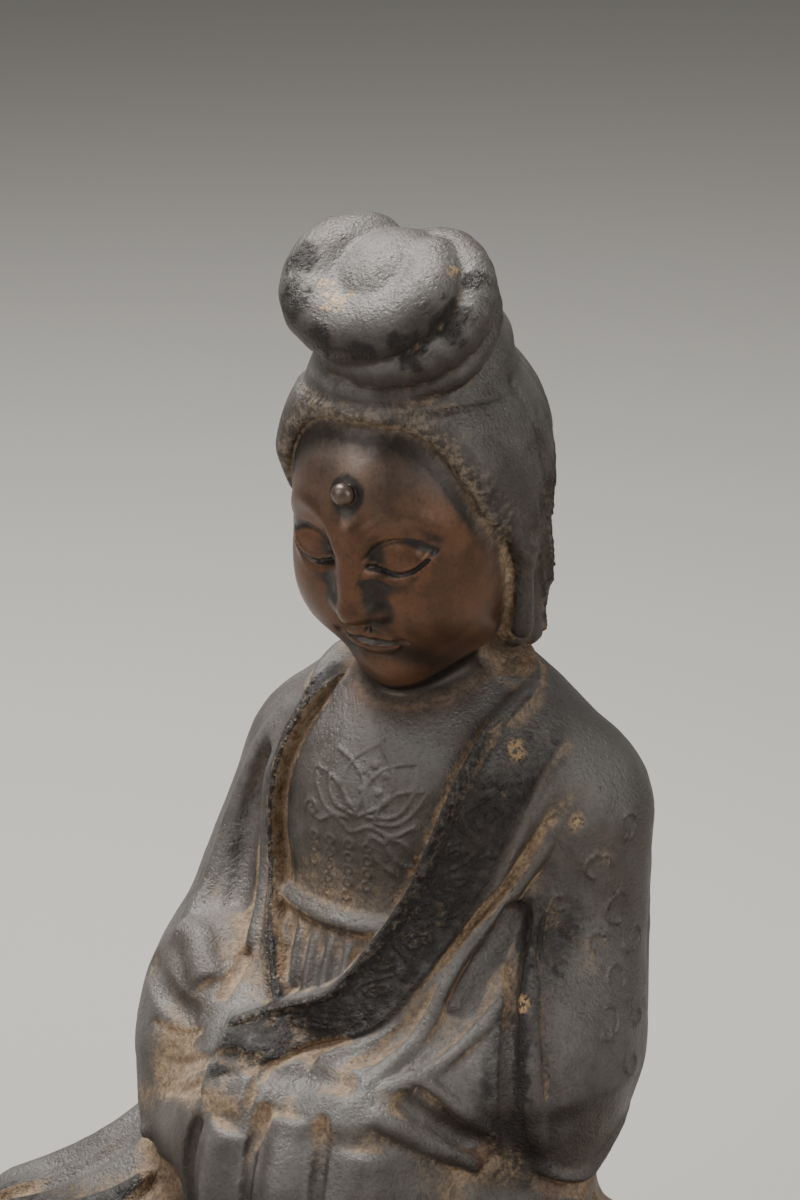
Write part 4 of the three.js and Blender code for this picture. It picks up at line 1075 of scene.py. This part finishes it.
def node(tree, kind, inputs=None, **settings):
    """Adds a node with its settings, and gives each input a value or links it to another node's socket."""
    made = tree.nodes.new(kind)
    for name, value in settings.items():
        setattr(made, name, value)
    for name, value in (inputs or {}).items():
        socket = made.inputs[name]
        if isinstance(value, bpy.types.NodeSocket):
            tree.links.new(value, socket)
        else:
            socket.default_value = value
    return made


def cast_bronze():
    """Old cast bronze: a dark patina with painted light that makes it greyer on top, blacker where rough,
    with tan dust in the folds and painted shade in some hollows and creases.
    """
    material = bpy.data.materials.new("cast_bronze_dark_patina")
    material.use_nodes = True
    tree = material.node_tree
    shader = tree.nodes["Principled BSDF"]
    place = node(tree, "ShaderNodeTexCoord").outputs["Object"]

    def pattern(size, detail=4.0, roughness=0.6):
        """Noise whose patches measure about this many millimetres."""
        inputs = {"Vector": place, "Scale": 1 / (size * MM), "Detail": detail, "Roughness": roughness}
        return node(tree, "ShaderNodeTexNoise", inputs).outputs["Fac"]

    def marked(name):
        return node(tree, "ShaderNodeAttribute", attribute_name=name).outputs["Fac"]

    def math_of(operation, a, b):
        return node(tree, "ShaderNodeMath", {0: a, 1: b}, operation=operation).outputs[0]

    def between(value, low, high, to_low=0.0, to_high=1.0):
        inputs = {"Value": value, "From Min": low, "From Max": high, "To Min": to_low, "To Max": to_high}
        return node(tree, "ShaderNodeMapRange", inputs, interpolation_type="SMOOTHSTEP").outputs["Result"]

    def mix(share, a, b):
        return node(tree, "ShaderNodeMix", {0: share, 6: a, 7: b}, data_type="RGBA").outputs[2]

    def mix_value(share, a, b):
        return node(tree, "ShaderNodeMix", {0: share, 2: a, 3: b}, data_type="FLOAT").outputs[0]

    broad, patches, speckle, grain = pattern(26), pattern(7), pattern(2.2, 5, 0.7), pattern(0.9, 3, 0.7)
    hollow, crease, edge, upward = (marked(name) for name in ("hollow", "crease", "edge", "upward"))
    face_mark, brow, rough, rust, gold = (marked(name) for name in ("face", "brow", "rough", "rust", "gold"))

    # Painted light: the patina is coloured brown below and grey above, standing in for light from above, and
    # darker on the rough bands
    painted_top_light = math_of("ADD", upward, math_of("MULTIPLY", math_of("SUBTRACT", patches, 0.5), 0.5))
    ground = mix(between(painted_top_light, 0.3, 0.85), colour("#3a322d"), colour("#716d69"))
    ground = mix(between(broad, 0.42, 0.66, 0.0, 0.5), ground, colour("#4b3e34"))
    band = math_of("MULTIPLY", rough, between(speckle, 0.3, 0.65, 0.35, 0.75))
    ground = mix(band, ground, colour("#2f2926"))
    # Black remains of lacquer lie on the rough places and in blots beside the edges
    blots = math_of("ADD", math_of("MULTIPLY", rough, 0.3), math_of("MULTIPLY", edge, 0.26))
    blots = math_of("ADD", blots, math_of("MULTIPLY", math_of("ADD", patches, speckle), 0.5))
    blots = between(blots, 0.6, 0.95, 0.0, 0.9)
    ground = mix(blots, ground, colour("#1f1b19"))
    # The polished face shows warm copper brown, with a painted grey sheen on the upper forehead and painted
    # shade in its creases
    copper = mix(between(patches, 0.35, 0.7), colour("#553c2c"), colour("#6b4a35"))
    painted_forehead_sheen = math_of("MULTIPLY", brow, between(broad, 0.35, 0.6, 0.35, 0.85))
    copper = mix(painted_forehead_sheen, copper, colour("#6f6862"))
    # Painted shade: the face's creases are coloured dark brown
    copper = mix(between(crease, 0.25, 0.8), copper, colour("#2b2624"))
    ground = mix(face_mark, ground, copper)
    # Dust in the hollows, thickest in the creases, with next to none on the face. Painted shade darkens the
    # hollows of the steep lap front and of the hair, and the real dark band along the left sleeve's opening
    # is laid with it.
    bare = math_of("SUBTRACT", 1.0, math_of("MULTIPLY", face_mark, 0.95))
    dusty = math_of("MULTIPLY", hollow, between(patches, 0.25, 0.6, 0.5, 1.1))
    dusty = math_of("ADD", dusty, math_of("MULTIPLY", crease, between(speckle, 0.3, 0.6, 0.2, 0.55)))
    dusty = math_of("MULTIPLY", between(dusty, 0.3, 1.05), bare)
    dusty = math_of("MULTIPLY", dusty, between(grain, 0.3, 0.6, 0.45, 0.85))
    dust = mix(between(speckle, 0.35, 0.65), colour("#84694e"), colour("#ac9273"))
    ground = mix(dusty, ground, dust)
    # Painted shade in the hollows of the steep lap front and the hair, with the real dark band along the left
    # sleeve's opening
    ground = mix(between(marked("dark"), 0.2, 0.9, 0.0, 0.85), ground, colour("#201b19"))
    # Dark grains of the casting show through everywhere
    ground = mix(between(grain, 0.3, 0.55, 0.4, 0.0), ground, mix(0.7, ground, colour("#1f1b19")))
    # Worn edges, rust and flecks of old gilding
    worn = math_of("MULTIPLY", between(edge, 0.45, 0.95), between(speckle, 0.42, 0.68))
    worn = math_of("MULTIPLY", worn, math_of("SUBTRACT", 1.0, face_mark))
    ground = mix(math_of("MULTIPLY", worn, 0.5), ground, colour("#8a7f74"))
    ground = mix(math_of("MULTIPLY", rust, between(grain, 0.35, 0.6, 0.0, 0.7)), ground, colour("#63402e"))
    ground = mix(math_of("MULTIPLY", gold, between(grain, 0.4, 0.56)), ground, colour("#a88a63"))
    tree.links.new(ground, shader.inputs["Base Color"])

    metal = math_of("MULTIPLY", math_of("SUBTRACT", 1.0, dusty), mix_value(face_mark, 0.4, 0.6))
    tree.links.new(metal, shader.inputs["Metallic"])
    polish = between(patches, 0.3, 0.7, 0.34, 0.46)
    sheen = mix_value(face_mark, between(patches, 0.3, 0.7, 0.38, 0.54), polish)
    sheen = mix_value(dusty, sheen, 0.85)
    tree.links.new(mix_value(rough, sheen, mix_value(0.5, sheen, 0.6)), shader.inputs["Roughness"])

    # Pits and grains of the casting, about a millimetre wide, strongest on the rough bands
    pits = node(tree, "ShaderNodeTexVoronoi", {"Vector": place, "Scale": 1 / (1.5 * MM)}).outputs["Distance"]
    tooth = math_of("ADD", grain, math_of("MULTIPLY", between(pits, 0.0, 0.35), 0.35))
    height = math_of("MULTIPLY", tooth, mix_value(face_mark, mix_value(rough, 0.7, 1.5), 0.05))
    height = math_of("ADD", height, math_of("MULTIPLY", speckle, mix_value(face_mark, 0.5, 0.08)))
    bump = node(tree, "ShaderNodeBump", {"Height": height, "Distance": 0.6 * MM, "Strength": 0.9})
    tree.links.new(bump.outputs["Normal"], shader.inputs["Normal"])
    return material


guanyin.data.materials.append(cast_bronze())
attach(guanyin, "root")
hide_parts("guanyin_figure")

# Floor, light and camera
floor_mesh = bpy.data.meshes.new("floor")
floor_mesh.from_pydata([(-3, -3, 0), (3, -3, 0), (3, 3, 0), (-3, 3, 0)], [], [(0, 1, 2, 3)])
floor = bpy.data.objects.new("floor", floor_mesh)
bpy.context.scene.collection.objects.link(floor)
plaster = bpy.data.materials.new("pale_floor")
plaster.use_nodes = True
finish = plaster.node_tree.nodes["Principled BSDF"].inputs
finish["Base Color"].default_value = colour("#b9b5ae")
finish["Roughness"].default_value = 0.9
floor.data.materials.append(plaster)

world = bpy.data.worlds.new("studio")
bpy.context.scene.world = world
world.use_nodes = True
sky = world.node_tree.nodes["Background"].inputs
sky["Color"].default_value = (0.83, 0.83, 0.83, 1)
sky["Strength"].default_value = 0.2


def softbox(name, place, target, size, power):
    """A square area light that faces the figure, its side in metres and its power in watts."""
    light = bpy.data.lights.new(name, "AREA")
    light.size = size
    light.energy = power
    lamp = bpy.data.objects.new(name, light)
    lamp.location = place
    lamp.rotation_euler = (Vector(target) - Vector(place)).to_track_quat("-Z", "Y").to_euler()
    bpy.context.scene.collection.objects.link(lamp)


softbox("top_light", (-0.35, 0.05, 1.05), (0, -0.01, 0.18), 0.6, 19)
softbox("front_light", (-0.5, -1.1, 0.7), (0, 0, 0.15), 0.7, 6)
softbox("side_light", (1.15, -0.35, 0.6), (0, 0, 0.15), 0.8, 7)

# The camera looks at the figure from its left front and a little above, and its frame ends at the lap.
VIEW_AZIMUTH = math.radians(30)
VIEW_ELEVATION = math.radians(13)
VIEW_DISTANCE = 0.9
SENSOR_HEIGHT = 36
MM_PER_PIXEL = 0.22
PHOTO_SIZE = (800, 1200)
TOP_PIXEL = (417, 213)  # where the point above the seat at the figure's full height is seen

top_point = Vector((0, SEAT[1], FIGURE_TOP + BASE_HEIGHT)) * MM
across = Vector((math.cos(VIEW_AZIMUTH), math.sin(VIEW_AZIMUTH), 0))
back = Vector(
    (
        math.sin(VIEW_AZIMUTH) * math.cos(VIEW_ELEVATION),
        -math.cos(VIEW_AZIMUTH) * math.cos(VIEW_ELEVATION),
        math.sin(VIEW_ELEVATION),
    )
)
above = back.cross(across)
scale = MM_PER_PIXEL * MM
to_right, to_foot = (PHOTO_SIZE[n] / 2 - TOP_PIXEL[n] for n in (0, 1))
aim = top_point + across * to_right * scale - above * to_foot * scale
camera_data = bpy.data.cameras.new("camera")
camera = bpy.data.objects.new("camera", camera_data)
camera.location = top_point + back * VIEW_DISTANCE
camera.rotation_euler = (aim - camera.location).to_track_quat("-Z", "Y").to_euler()
camera_data.sensor_fit = "VERTICAL"
camera_data.sensor_height = SENSOR_HEIGHT
camera_data.lens = SENSOR_HEIGHT * VIEW_DISTANCE / (PHOTO_SIZE[1] * scale)
camera_data.clip_start = 0.01
bpy.context.scene.collection.objects.link(camera)
bpy.context.scene.camera = camera
